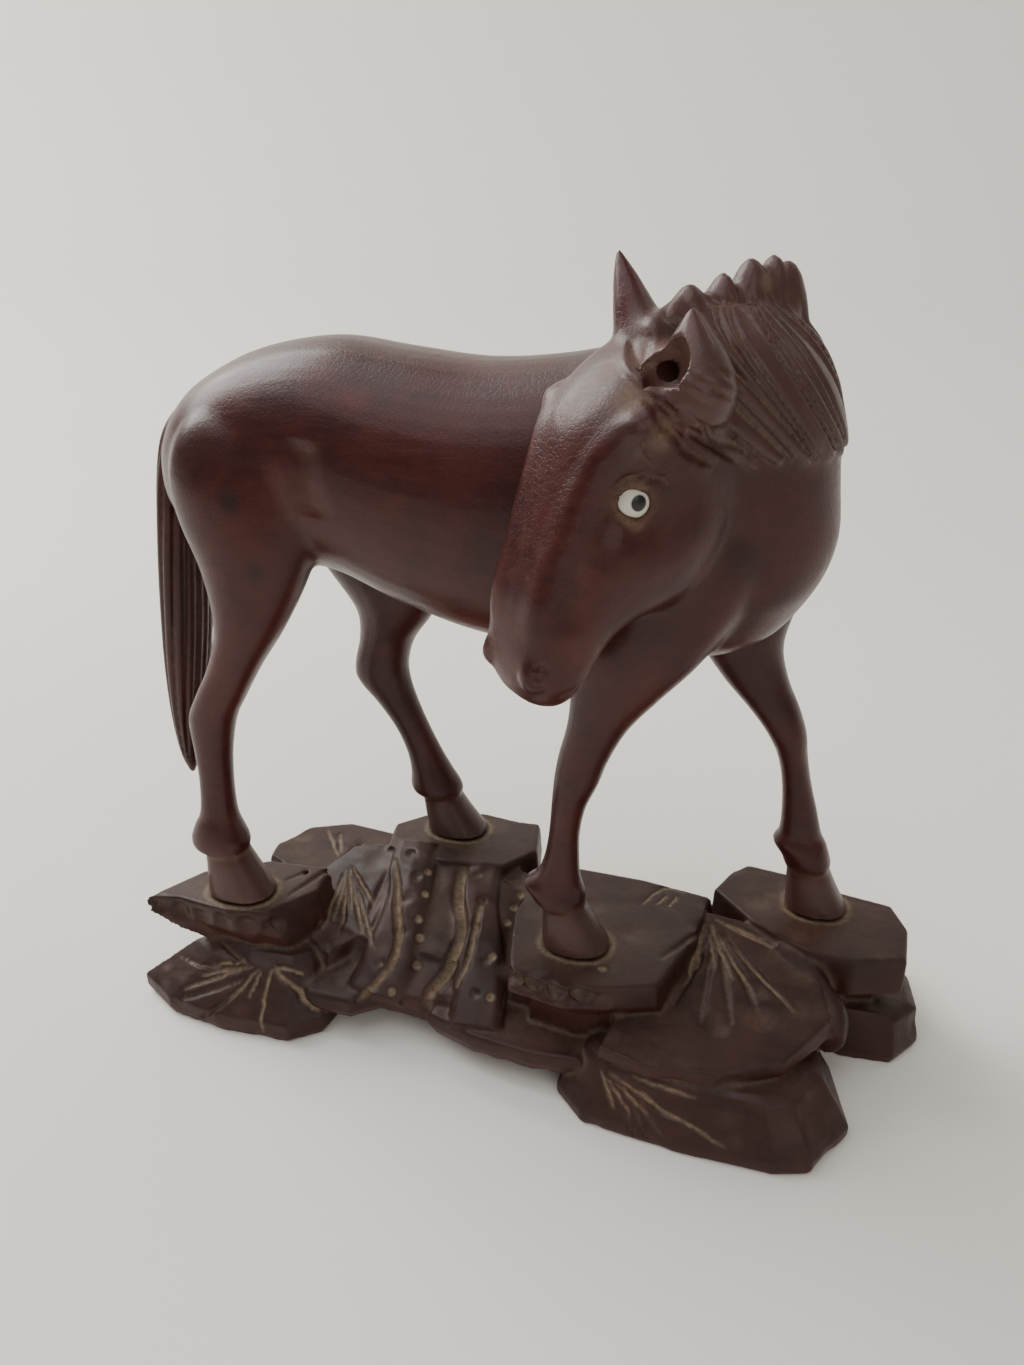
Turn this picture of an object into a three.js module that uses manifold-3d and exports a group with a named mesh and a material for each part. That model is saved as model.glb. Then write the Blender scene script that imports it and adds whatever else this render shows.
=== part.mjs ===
// A carved hardwood horse that walks over a stand of cut rocks and looks back over its right shoulder.
// The horse, the rock stand and the two inlaid eyes are separate solids. Millimetres, +Z up, +X is the
// way the horse walks, and the origin is the middle of the stand's underside.

import * as THREE from 'three';
import Module from 'manifold-3d';
import { mergeVertices } from 'three/addons/utils/BufferGeometryUtils.js';

const wasm = await Module();
wasm.setup();

// Driving dimensions.
const HORSE_HEIGHT = 125; // hoof soles to the highest ear tip
const HEAD_LENGTH = 54; // poll to lips
const HEAD_TURN = -128; // degrees the head is turned back to the right
const HEAD_NOD = 18; // degrees the face leans out at the muzzle
const HEAD_LEAN = -4; // degrees the head leans to its left
const EYE_DIAMETER = 6;
const EYE_SEAT_GAP = 0.3; // between an eye and its socket, all round
const LEDGE_HEIGHT = 25; // table to the flat ledges under the hooves
const SOLE_GAP = 0.3; // between the soles and the ledges
const STAND_LENGTH = 1.296 * HORSE_HEIGHT; // the stand grows with the horse's stride
const STAND_WIDTH = 0.56 * HORSE_HEIGHT;
const ARCH_HEIGHT = 5; // table to the underside of the stand between its feet
const GOUGE_WIDTH = 2; // one stroke of the gouge in the rocks, and twice its depth
const DOT_WIDTH = 2.6; // one half-moon cut in the bands over the rocks

// The forms are drawn at these sizes, and each one is a share of its own driving dimension.
const DRAWN_HORSE_HEIGHT = 125;
const DRAWN_HEAD_LENGTH = 54;
const DRAWN_STAND_LENGTH = 162;
const DRAWN_STAND_WIDTH = 70;
const DRAWN_LEDGE_HEIGHT = 25;
const horseScale = HORSE_HEIGHT / DRAWN_HORSE_HEIGHT;
const headScale = HEAD_LENGTH / DRAWN_HEAD_LENGTH;
const standScale = [
  STAND_LENGTH / DRAWN_STAND_LENGTH,
  STAND_WIDTH / DRAWN_STAND_WIDTH,
  LEDGE_HEIGHT / DRAWN_LEDGE_HEIGHT,
];

const DEGREE = Math.PI / 180;
const point = (x, y, z) => new THREE.Vector3(x, y, z);
const range = (count) => Array.from({ length: count }, (_, i) => i);

// A smooth run through a list of numbers, with t from 0 to 1 over the whole list.
function runThrough(values, t) {
  const last = values.length - 1;
  const place = Math.min(t * last, last - 1e-9);
  const i = Math.floor(place);
  const f = place - i;
  const [a, b, c, d] = [i - 1, i, i + 1, i + 2].map((k) => values[Math.min(Math.max(k, 0), last)]);
  const f2 = f * f;
  const f3 = f2 * f;
  const slopes = ((f3 - 2 * f2 + f) * (c - a) + (f3 - f2) * (d - b)) / 2;
  return (2 * f3 - 3 * f2 + 1) * b + (3 * f2 - 2 * f3) * c + slopes;
}

// Closed body through rings of equally many points, capped with fans at both ends.
function stackOf(rings) {
  const sides = rings[0].length;
  const points = rings.flat();
  for (const ring of [rings[0], rings[rings.length - 1]]) {
    points.push(ring.reduce((sum, p) => sum.add(p), point(0, 0, 0)).divideScalar(sides));
  }
  const faces = [];
  const lastRing = (rings.length - 1) * sides;
  for (let k = 0; k < sides; k += 1) {
    const next = (k + 1) % sides;
    for (let row = 0; row < lastRing; row += sides) {
      faces.push([row + k, row + next, row + sides + next], [row + k, row + sides + next, row + sides + k]);
    }
    faces.push([lastRing + sides, next, k], [lastRing + sides + 1, lastRing + k, lastRing + next]);
  }
  const volume = faces.reduce((sum, [i, j, k]) => sum + points[i].dot(points[j].clone().cross(points[k])), 0);
  const outward = volume > 0 ? faces : faces.map(([i, j, k]) => [i, k, j]);
  const geometry = new THREE.BufferGeometry();
  geometry.setFromPoints(points);
  geometry.setIndex(outward.flat());
  return geometry;
}

// A rib is a rounded section that spans from point a to point b and is half wide to each side.
function ribAt(ribs, t) {
  const along = (key) => point(...['x', 'y', 'z'].map((axis) => runThrough(ribs.map((rib) => rib[key][axis]), t)));
  return { a: along('a'), b: along('b'), half: Math.max(runThrough(ribs.map((rib) => rib.half), t), 0.05) };
}

// Body through a row of ribs. square above 2 flattens the sections, flute cuts lengthwise ridges.
function loft(ribs, { rings, sides, square = 2, flute = 0 }) {
  const sections = range(rings).map((i) => ribAt(ribs, i / (rings - 1)));
  const middles = sections.map(({ a, b }) => a.clone().add(b).multiplyScalar(0.5));
  const bulge = (value) => Math.sign(value) * Math.abs(value) ** (2 / square);
  return stackOf(sections.map(({ a, b, half }, i) => {
    const tangent = middles[Math.min(i + 1, rings - 1)].clone().sub(middles[Math.max(i - 1, 0)]);
    const span = a.clone().sub(b).multiplyScalar(0.5);
    const across = span.clone().cross(tangent).normalize().multiplyScalar(half);
    return range(sides).map((k) => {
      const angle = (2 * Math.PI * k) / sides;
      const ridge = k % 2 ? 1 - flute : 1;
      return middles[i].clone()
        .addScaledVector(span, ridge * bulge(Math.cos(angle)))
        .addScaledVector(across, ridge * bulge(Math.sin(angle)));
    });
  }));
}

// A smooth pebble with its own three radii.
function pebble(centre, radii, detail = 8) {
  const geometry = new THREE.SphereGeometry(1, detail, Math.ceil(detail * 0.6));
  geometry.scale(...radii);
  geometry.translate(...centre);
  return geometry;
}

function solidOf(geometry) {
  const bare = new THREE.BufferGeometry();
  bare.setAttribute('position', geometry.getAttribute('position'));
  bare.setIndex(geometry.getIndex());
  const merged = mergeVertices(bare, 1e-4);
  const mesh = new wasm.Mesh({
    numProp: 3,
    vertProperties: new Float32Array(merged.getAttribute('position').array),
    triVerts: new Uint32Array(merged.getIndex().array),
  });
  return new wasm.Manifold(mesh);
}

const joinAll = (solids) => solids.reduce((whole, solid) => whole.add(solid));
const cutAll = (solid, cutters) => cutters.reduce((rest, cutter) => rest.subtract(cutter), solid);

function geometryOf(solid) {
  const { vertProperties, triVerts } = solid.getMesh();
  const geometry = new THREE.BufferGeometry();
  geometry.setAttribute('position', new THREE.BufferAttribute(new Float32Array(vertProperties), 3));
  geometry.setIndex(new THREE.BufferAttribute(new Uint32Array(triVerts), 1));
  geometry.computeVertexNormals();
  return geometry;
}

// The horse's frame has its soles at height 0. The head's own frame hangs from the poll: +X is the way
// the face looks, +Y is the head's left, and the lips are below the poll.
const horseFrame = new THREE.Matrix4()
  .makeTranslation(0, 0, LEDGE_HEIGHT + SOLE_GAP)
  .multiply(new THREE.Matrix4().makeScale(horseScale, horseScale, horseScale));
const POLL = point(17.9, -25.6, 114);
const headFrame = new THREE.Matrix4()
  .makeTranslation(POLL.x, POLL.y, POLL.z)
  .multiply(new THREE.Matrix4().makeRotationZ(HEAD_TURN * DEGREE))
  .multiply(new THREE.Matrix4().makeRotationY(-HEAD_NOD * DEGREE))
  .multiply(new THREE.Matrix4().makeRotationX(HEAD_LEAN * DEGREE))
  .multiply(new THREE.Matrix4().makeScale(headScale, headScale, headScale));

// The trunk, from the tail end to the chest: place along the body, back, belly, half width.
const TRUNK = [
  [-71.5, 88, 82, 2],
  [-70, 94, 77, 8],
  [-66, 99.5, 73, 12.5],
  [-60, 103.8, 71, 16],
  [-50, 108.2, 69, 18.2],
  [-36, 110.6, 68.5, 18.8],
  [-22, 109.2, 63.4, 19.6],
  [-8, 108, 59.6, 20],
  [6, 109.2, 58.6, 19.8],
  [20, 112, 60, 18.6],
  [32, 113, 65.5, 16.6],
  [42, 108, 73, 13.4],
  [48, 99, 79, 9],
  [50.5, 92, 84, 3],
];

function trunk() {
  const ribs = TRUNK.map(([x, back, belly, half]) => ({ a: point(x, 0, back), b: point(x, 0, belly), half }));
  return loft(ribs, { rings: 19, sides: 16, square: 2.15 });
}

// The neck rises from the shoulders and narrows to the crest: height, middle x and y, half lengths along
// and across, and how many degrees its long side is turned.
const NECK = [
  [62, 31, 0, 8, 10, 0],
  [66, 32, 0, 13, 13.5, 0],
  [74, 33, 0, 17, 15.8, 0],
  [83, 34, -2, 18.4, 15.5, 10],
  [92, 34.5, -4, 17.5, 14.8, 25],
  [100, 34.5, -5.5, 17.2, 13.8, 40],
  [107, 33.5, -6.5, 17, 12.2, 48],
  [112.5, 32.5, -7, 15.5, 9.5, 50],
  [116.8, 32, -7.5, 12.5, 5.5, 50],
  [118.6, 32, -8, 9, 2, 50],
];

function neck() {
  const ribs = NECK.map(([height, x, y, along, across, turn]) => {
    const reach = point(along * Math.cos(turn * DEGREE), along * Math.sin(turn * DEGREE), 0);
    const middle = point(x, y, height);
    return { a: middle.clone().add(reach), b: middle.clone().sub(reach), half: across };
  });
  return loft(ribs, { rings: 13, sides: 16 });
}

// The point on the neck's skin at a height, seen from its middle in a compass direction, 0 being +X.
function onNeck(height, compass, lift = 0) {
  const next = Math.max(NECK.findIndex(([h]) => h > height), 1);
  const [low, high] = [NECK[next - 1], NECK[next]];
  const f = (height - low[0]) / (high[0] - low[0]);
  const [, x, y, along, across, turn] = low.map((value, k) => value + f * (high[k] - value));
  const local = (compass - turn) * DEGREE;
  const out = (along * across) / Math.hypot(across * Math.cos(local), along * Math.sin(local)) + lift;
  return point(x + out * Math.cos(compass * DEGREE), y + out * Math.sin(compass * DEGREE), height);
}

// Legs and hooves are stacks of sections: height, back, front, sideways place, half width.
const LEGS = {
  nearHind: {
    hoof: [[0, -65, -50.5, -17.5, 5.8], [5.5, -64.8, -53.6, -17.5, 4.9], [11.4, -64.6, -56.8, -17.4, 4]],
    limb: [
      [9.8, -65.6, -57.6, -17.3, 3.8], [10.6, -67.4, -55.8, -17.3, 4.9], [12.6, -67.8, -55.6, -17.3, 5],
      [15.6, -66.6, -56.8, -17.3, 4.5],
      [19, -65, -57.6, -17.2, 3.7], [26, -64.4, -57.6, -17, 3.4], [33, -64.6, -57, -16.8, 3.7],
      [40, -64.8, -55.4, -16.6, 4.4], [45, -62.6, -52.8, -16.4, 4.7], [52, -59, -48.8, -16, 5],
      [60, -57, -43.6, -15.2, 6.2], [70, -59, -38.4, -14, 7.6], [79, -63, -36, -13, 8.4],
      [87, -64.5, -37, -12, 8.6], [94, -62.5, -41, -10.5, 7.4], [99, -57, -47, -8, 4],
    ],
  },
  farHind: {
    hoof: [[0, -29.5, -15.5, 18.5, 5.6], [5, -30.2, -19.4, 18.5, 4.7], [10.4, -31, -23, 18.5, 3.9]],
    limb: [
      [8.8, -31.4, -23.4, 18.4, 3.8], [9.6, -33, -21.6, 18.4, 4.7], [11.4, -33.6, -21.8, 18.4, 4.7],
      [14.4, -33.4, -23.6, 18.3, 4.2],
      [19, -34.2, -26, 18.2, 3.4], [25, -36.6, -28.8, 18, 3.3], [31, -40.6, -31.2, 17.8, 3.7],
      [36.5, -45, -32.8, 17.6, 4.4], [41, -45, -33, 17.4, 4.7], [47, -43.4, -31, 17, 5],
      [54, -43.4, -26, 16.2, 6], [62, -48, -23, 15, 7.2], [72, -55, -24.5, 13.8, 8.2],
      [82, -60, -30, 12.6, 8.8], [91, -62, -38, 11, 8], [99, -56, -46, 8, 4],
    ],
  },
  nearFore: {
    hoof: [[0, 6.8, 20.4, -13, 5.7], [5, 6.8, 17.4, -13, 4.8], [10.2, 6.8, 14, -13, 3.9]],
    limb: [
      [8.6, 6.4, 13.4, -13, 3.6], [9.4, 5.4, 14.8, -13, 4.6], [11.2, 4, 15, -13, 4.8], [12.8, 2.8, 14.6, -13, 4.5],
      [15, 5.2, 13.9, -13.1, 4], [19, 6.8, 13.6, -13.2, 3.3], [25, 7.8, 13.6, -13.4, 3.1],
      [31, 8.2, 14.6, -13.5, 3.5], [36.5, 8.6, 16.8, -13.6, 4.3], [42, 9.4, 18.6, -13.8, 4.5],
      [49, 11, 22, -14, 5], [56, 11.5, 27.6, -14, 6.2], [63, 12, 33.5, -13.8, 7.2],
      [74, 14, 40, -13, 8], [86, 18, 43, -11.5, 7.6], [97, 22, 40, -9.5, 6],
    ],
  },
  farFore: {
    hoof: [[0, 51.6, 64.2, 13.2, 5.5], [5, 51.3, 61.4, 13.2, 4.8], [10.6, 51, 58.8, 13.2, 4]],
    limb: [
      [9.2, 51.2, 58, 13.2, 3.7], [10, 50.4, 59.6, 13.2, 4.5], [12, 49.6, 59.2, 13.2, 4.6],
      [14.8, 47.6, 58.2, 13.2, 4.3],
      [17, 48.6, 57, 13.2, 3.7], [22, 48.6, 55.6, 13.1, 3.2], [28, 48, 53.8, 13, 3.1],
      [34, 46.6, 52.4, 12.9, 3.6], [39, 44, 51.6, 12.8, 4.3], [44, 40, 49.8, 12.7, 4.6],
      [50, 34.4, 47, 12.6, 5.2], [57, 29.5, 45.4, 12.4, 6.2], [65, 26.5, 47, 12, 7],
      [75, 25.5, 49, 11.2, 7.6], [87, 27, 48.5, 10, 7.2], [98, 29, 43, 8, 5.5],
    ],
  },
};

function leg({ hoof, limb }) {
  const ribsOf = (rows) => rows.map(([height, back, front, y, half]) => ({
    a: point(front, y, height),
    b: point(back, y, height),
    half,
  }));
  return [
    loft(ribsOf(hoof), { rings: 3, sides: 10, square: 2.3 }),
    loft(ribsOf(limb), { rings: limb.length + 4, sides: 10, square: 2.15 }),
  ];
}

// The tail hangs free behind the hocks: x, height, half depth and half width.
const TAIL = [
  [-58, 95, 3, 3],
  [-65, 96, 3.6, 4],
  [-70, 91.5, 3.9, 5],
  [-72.4, 83, 4, 6],
  [-73.8, 70, 4.4, 6.8],
  [-75.4, 55, 4.6, 6.8],
  [-77.2, 41, 4.2, 6],
  [-78.8, 29, 3.3, 4.4],
  [-79.9, 19.5, 1.9, 2.4],
  [-80, 14.5, 0.5, 0.6],
];

function tail() {
  const ribs = TAIL.map(([x, height, depth, half], i) => {
    const [x0, h0] = TAIL[Math.max(i - 1, 0)];
    const [x1, h1] = TAIL[Math.min(i + 1, TAIL.length - 1)];
    const back = point(h1 - h0, 0, x0 - x1).normalize().multiplyScalar(depth);
    const middle = point(x, 1, height);
    return { a: middle.clone().add(back), b: middle.clone().sub(back), half };
  });
  return loft(ribs, { rings: 12, sides: 12, flute: 0.13 });
}

// The head in its own frame: depth below the poll, bridge of the nose, jaw, half width.
const HEAD = [
  [-4, -9, -15, 4],
  [-1.5, -5, -20, 8],
  [4, -0.8, -25.6, 11.4],
  [11, 2.2, -29, 12.8],
  [18, 2.6, -31, 12.6],
  [25, 2.6, -31.4, 12.2],
  [29, 2.6, -31, 11.4],
  [32, 2.6, -26.6, 10.8],
  [35, 2.5, -21, 10.2],
  [39, 2.2, -15.4, 9.6],
  [45, 1.2, -13, 8.8],
  [49.6, -0.6, -12, 7.8],
  [52.9, -3.4, -9.8, 5.2],
  [53.6, -5.6, -7.8, 1],
];
const EYE = point(-6.8, 7.4, -19.2); // the left eye in the head's frame
// Lumps and hollows of the left side of the face, mirrored to the right: centre and radii.
const BROW = { centre: [-4, 9.4, -9.4], radii: [4.2, 2.8, 3.4] };
const NOSTRIL = { centre: [-2.5, 5.2, -47.4], radii: [3.1, 2.6, 3.4] };
const EYE_HOLLOW = { centre: [-6.2, 20, -20.4], radii: [11, 10.6, 14] };
// The chin, and where the cheek runs into the neck on the left.
const CHIN = { centre: [-9.8, 0, -50], radii: [3, 4.8, 2.8] };
const THROAT = [{ centre: [-30, 8, -10], radii: [8, 6, 12] }, { centre: [-33, 6, -20], radii: [7, 6, 9] }];

function faceForm({ centre: [x, y, z], radii }, side = 1, detail = 8) {
  return pebble([x, y * side, z], radii, detail);
}

function head() {
  const ribs = HEAD.map(([down, front, back, half]) => ({ a: point(front, 0, -down), b: point(back, 0, -down), half }));
  const mask = loft(ribs, { rings: 18, sides: 14, square: 2.8 });
  const hollows = [-1, 1].map((side) => faceForm(EYE_HOLLOW, side, 10));
  const pared = cutAll(solidOf(mask), hollows.map(solidOf));
  const lumps = [-1, 1].flatMap((side) => [faceForm(BROW, side), faceForm(NOSTRIL, side)]);
  const face = joinAll([pared, ...[faceForm(CHIN), ...lumps, ...THROAT.map((form) => faceForm(form))].map(solidOf)]);
  return [geometryOf(face).applyMatrix4(headFrame)];
}

// An ear is a leaf from its root to its tip, hollowed on the side that it listens to.
const BROAD_LEAF = [[0, 0.7, 0.9], [0.2, 0.95, 1], [0.4, 1, 0.95], [0.6, 0.8, 0.75], [0.8, 0.46, 0.45], [1, 0.05, 0.1]];
const SLIM_LEAF = [[0, 1, 1], [0.2, 0.95, 0.95], [0.4, 0.78, 0.8], [0.6, 0.56, 0.6], [0.8, 0.32, 0.38], [1, 0.05, 0.1]];
const EARS = [
  { root: [-11, 10.6, -7], tip: [-6.2, 7.6, 7.6], listens: [0.98, -0.12, -0.05], half: 6.2, deep: 5.8, leaf: BROAD_LEAF },
  { root: [-10.5, -0.8, -2], tip: [-5, -10, 12.9], listens: [0.3, -1, 0.1], half: 5, deep: 4.6, leaf: SLIM_LEAF },
];
const CUP = { size: 0.66, forward: 0.62, start: 0.42 }; // the hollow against the leaf, and how far up it begins

function earLeaf({ root, tip, listens, half, deep, leaf }, { size, forward, start }) {
  const base = point(...root);
  const axis = point(...tip).sub(base);
  const towards = point(...listens).projectOnPlane(axis.clone().normalize()).normalize();
  const ribs = leaf.map(([share, wide, thick]) => {
    const along = start + share * (1 - start);
    const middle = base.clone().addScaledVector(axis, along).addScaledVector(towards, forward * deep);
    const reach = towards.clone().multiplyScalar(deep * thick * size);
    return { a: middle.clone().add(reach), b: middle.clone().sub(reach), half: half * wide * size };
  });
  return loft(ribs, { rings: 6, sides: 8 }).applyMatrix4(headFrame);
}

// The crest of the mane is a wall along the top of the neck with a row of tufts: x, y, top.
const CREST_FOOT = 104;
const CREST_HALF = 3.4;
const CREST = [
  [14, 0, 110], [20, 1, 113.5], [24.6, 2, 117.4], [26.8, 2.2, 116.6], [31, 2.6, 120.4], [33.4, 2.4, 119.4],
  [37.6, 2.2, 122.8], [39.8, 0.8, 122.4], [39.6, -1.2, 124], [38.8, -1.8, 123.3], [37.7, -2.9, 124.6],
  [36.3, -4.4, 123.2], [34.9, -6, 124.2], [33.8, -7.1, 123.4], [32.6, -8.3, 120.6], [31.3, -9.6, 122.3],
  [29.3, -11.8, 119.9], [27.2, -14.3, 121], [25.6, -16.4, 119.2], [21.4, -20.8, 116.6],
];

function crest() {
  const ribs = CREST.map(([x, y, top]) => ({ a: point(x, y, top), b: point(x, y, CREST_FOOT), half: CREST_HALF }));
  return loft(ribs, { rings: CREST.length, sides: 6, square: 2.2 });
}

// Locks of the mane sweep from the crest down the outer side of the neck.
const LOCK_COUNT = 9;
const LOCK_TOP = 117.5; // heights above the soles
const LOCK_END = 96.5;
const LOCK_HALF = 4.6;
const LOCK_THICKNESS = 1.3;
const LOCK_ANGLES = [-165, 47]; // compass directions of the first and the last lock at the crest
const LOCK_SWEEP = [105, 5]; // how many degrees they swing round on the way down

function lock(index) {
  const share = index / (LOCK_COUNT - 1);
  const [start, sweep] = [LOCK_ANGLES, LOCK_SWEEP].map(([first, last]) => first + share * (last - first));
  const ribs = [0, 0.25, 0.5, 0.75, 0.92, 1].map((t) => {
    const height = LOCK_TOP + (LOCK_END - LOCK_TOP) * t;
    const compass = start + sweep * t;
    const taper = Math.min(1, (1.04 - t) * 4);
    const [skin, beside] = [onNeck(height, compass), onNeck(height, compass + 1)];
    const turn = (LOCK_HALF * taper) / Math.max(skin.distanceTo(beside), 0.12);
    return {
      a: onNeck(height, compass + turn),
      b: onNeck(height, compass - turn),
      half: LOCK_THICKNESS * (0.4 + 0.6 * taper),
    };
  });
  return loft(ribs, { rings: 6, sides: 5 });
}

const eyeCentre = (side) => point(EYE.x, EYE.y * side, EYE.z).applyMatrix4(headFrame);

function horseSolid() {
  const locks = range(LOCK_COUNT).map(lock);
  const leaves = EARS.map((ear) => earLeaf(ear, { size: 1, forward: 0, start: 0 }));
  const forms = [trunk(), neck(), tail(), crest(), ...locks, ...Object.values(LEGS).flatMap(leg), ...head(), ...leaves];
  const socket = (EYE_DIAMETER / 2 + EYE_SEAT_GAP) / horseScale;
  const cuts = [
    ...EARS.map((ear) => earLeaf(ear, CUP)),
    ...[-1, 1].map((side) => pebble(eyeCentre(side).toArray(), [socket, socket, socket], 9)),
  ];
  const placed = (form) => solidOf(form.applyMatrix4(horseFrame));
  return cutAll(joinAll(forms.map(placed)), cuts.map(placed));
}

function eyeSolid(side) {
  const radius = EYE_DIAMETER / 2;
  const centre = eyeCentre(side).applyMatrix4(horseFrame);
  return solidOf(pebble(centre.toArray(), [radius, radius, radius], 9));
}

// A rock has corners in plan and layers from its top down: height, how wide it is beside its corners, and
// how far it has slid in x and y. Its top slopes by so many millimetres for each one in x and in y.
const ROCKS = {
  core: {
    corners: [[-62, -8], [-56, 16], [-30, 22], [0, 20], [34, 20], [62, 16], [66, 2], [56, -16], [30, -20], [0, -18], [-34, -16]],
    layers: [[17, 0.94], [12, 1], [ARCH_HEIGHT, 0.97]],
  },
  nearHindLedge: {
    corners: [[-76.5, -26], [-70, -14], [-58, -6], [-44, -4.5], [-42.5, -13], [-49, -23], [-58, -25], [-70, -24]],
    layers: [[25, 0.96], [24, 1], [21, 0.99, 0.5, 0], [16.5, 0.86, 3.5, 1], [12, 0.66, 7, 2], [9, 0.56, 8, 2]],
  },
  leftFoot: {
    corners: [[-79.5, -26.5], [-68, -19], [-56, -8], [-42, -8], [-34.5, -18], [-36, -27], [-42, -32], [-58, -33], [-70, -31.5]],
    layers: [[14.5, 0.5, 3, 5], [12.5, 0.66, 2, 3.6], [4.5, 1], [1.6, 1], [0, 0.95]],
  },
  backLeftRock: {
    corners: [[-64, 6], [-61, 17], [-53, 24], [-38, 25], [-34, 12], [-40, -2], [-56, -2], [-63, 1]],
    layers: [[18.5, 0.95], [17.5, 1], [12.5, 1.03], [8, 0.85], [ARCH_HEIGHT, 0.8]],
    slope: [-0.12, -0.1],
  },
  backLeftFoot: {
    corners: [[-67, 12], [-68, 24], [-60, 34], [-44, 35], [-36, 26], [-40, 12], [-54, 8]],
    layers: [[11, 0.8, 0, -2], [9, 0.92], [3, 1], [0, 0.96]],
    slope: [0, -0.15],
  },
  valley: {
    corners: [[-50, -14], [-50, 0], [-44, 8], [-34, 10], [-30, 0], [-31, -12], [-38, -20]],
    layers: [[19.5, 0.95], [18, 1], [9, 1.05]],
    slope: [0.1, 0.34],
  },
  middleSlab: {
    corners: [[-47, -20], [-40, -27], [-30, -27], [-22, -20], [-24, -8], [-34, -4], [-46, -8]],
    layers: [[12.5, 0.93], [11, 1], [8, 1.04], [ARCH_HEIGHT, 0.9]],
    slope: [0.02, 0.22],
  },
  farHindLedge: {
    corners: [[-36, 7], [-37.5, 16], [-32, 22], [-19, 26.5], [-10, 25.5], [-5, 26], [-2.5, 15], [-8, 7], [-22, 5]],
    layers: [[25, 0.97], [24, 1], [17.5, 1.03], [12, 0.94], [ARCH_HEIGHT, 0.86]],
  },
  middleRidge: {
    corners: [[-23, -16], [-22, 4], [-12, 12], [0, 10], [4, -6], [0, -20], [-12, -22]],
    layers: [[18, 0.94], [16.5, 1], [9, 1.06], [ARCH_HEIGHT, 0.96]],
    slope: [0.05, 0.32],
  },
  lowSlab: {
    corners: [[-14, -25], [-4, -28], [8, -29], [19, -28], [20, -12], [-10, -12]],
    layers: [[10.5, 0.95], [9.5, 1], [7.5, 1], [ARCH_HEIGHT, 0.88]],
    slope: [0, 0.1],
  },
  nearForeLedge: {
    corners: [[1.5, -19], [3.5, -25], [14, -26.5], [22, -24.5], [31, -21], [36, -4], [37, 10], [22, 12], [8, 12], [-1, 5], [-1, -8]],
    layers: [[25, 0.97], [24, 1], [20.5, 1.02], [16.5, 0.93, 2, 2], [ARCH_HEIGHT, 0.86, 2, 2]],
  },
  slopingSlab: {
    corners: [[22, -29], [32, -31], [44, -29], [55, -24], [63, -13], [58, 0], [46, 5], [34, 6], [26, -8]],
    layers: [[19.4, 0.98], [18.6, 1], [14.8, 1.01], [12, 0.86, 0, 3], [7, 0.8, 0, 4]],
    slope: [0, 0.26],
  },
  farForeLedge: {
    corners: [[37, 13], [40, 21], [43, 24], [52, 23], [63, 19.5], [73, 18], [76, 11], [75.5, 1], [66, -2.5], [57, -2], [46, 4]],
    layers: [[25, 0.975], [24.2, 1], [17, 1.01], [13.5, 0.88, -2, 1], [ARCH_HEIGHT, 0.78, -3, 2]],
  },
  rightFoot: {
    corners: [[14, -28], [20, -33.5], [39, -35], [56, -34.5], [62, -32.5], [68, -22], [64, -8], [40, -4], [20, -8], [14, -18]],
    layers: [[12.5, 0.74, 0, 2.5], [11.5, 0.8, 0, 2], [3, 1], [1, 1], [0, 0.97]],
  },
  farRightFoot: {
    corners: [[58, 2], [66, -2], [76, -1], [81, 6], [79.5, 16], [73, 29], [58, 35], [48, 26]],
    layers: [[11, 0.84, -1, -1], [9.5, 0.92], [2, 1], [0, 0.96]],
    slope: [-0.05, -0.05],
  },
};

function rock({ corners, layers, slope = [0, 0] }) {
  const [wide, deep, high] = standScale;
  const placed = corners.map(([x, y]) => [x * wide, y * deep]);
  const [middleX, middleY] = [0, 1].map((axis) => placed.reduce((sum, corner) => sum + corner[axis], 0) / placed.length);
  const rings = layers.map(([height, width, slideX = 0, slideY = 0], i) => {
    const lean = 1 - i / (layers.length - 1);
    const level = height > ARCH_HEIGHT ? height * high : height;
    return placed.map(([x, y]) => {
      const [aside, back] = [(x - middleX) * width, (y - middleY) * width];
      const rise = lean * (slope[0] * aside + slope[1] * back);
      return point(middleX + aside + slideX * wide, middleY + back + slideY * deep, level + rise);
    });
  });
  return stackOf(rings);
}

// A band lies over the rocks like a strap: the points of its middle line and its half width at each.
const BAND_HALF_THICKNESS = 2.4;
const BANDS = [
  [[-29, 10, 23.6, 5.4], [-28, 4, 23, 5.4], [-26, -3, 21, 5], [-25, -10, 18, 5.4], [-25, -17, 14.4, 6.4], [-26, -23.5, 9.6, 6.4]],
  [[-13, 9, 22.6, 4.4], [-12, 2, 21.6, 4.6], [-10, -5, 19.6, 4.8], [-7, -12, 17, 5.2], [-4.5, -19, 13.6, 5.6], [-3.5, -25.5, 9, 5.8]],
];

const placeOnStand = ([x, y, z]) => point(x * standScale[0], y * standScale[1], z * standScale[2]);

function band(rows) {
  const ribs = rows.map(([x, y, z, half], i) => {
    const [from, to] = [rows[Math.max(i - 1, 0)], rows[Math.min(i + 1, rows.length - 1)]].map(placeOnStand);
    const out = to.sub(from).cross(point(1, 0, 0)).normalize().multiplyScalar(BAND_HALF_THICKNESS);
    const middle = placeOnStand([x, y, z]);
    return { a: middle.clone().add(out), b: middle.clone().sub(out), half: half * standScale[0] };
  });
  return loft(ribs, { rings: 10, sides: 10, square: 2.6 });
}

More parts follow.
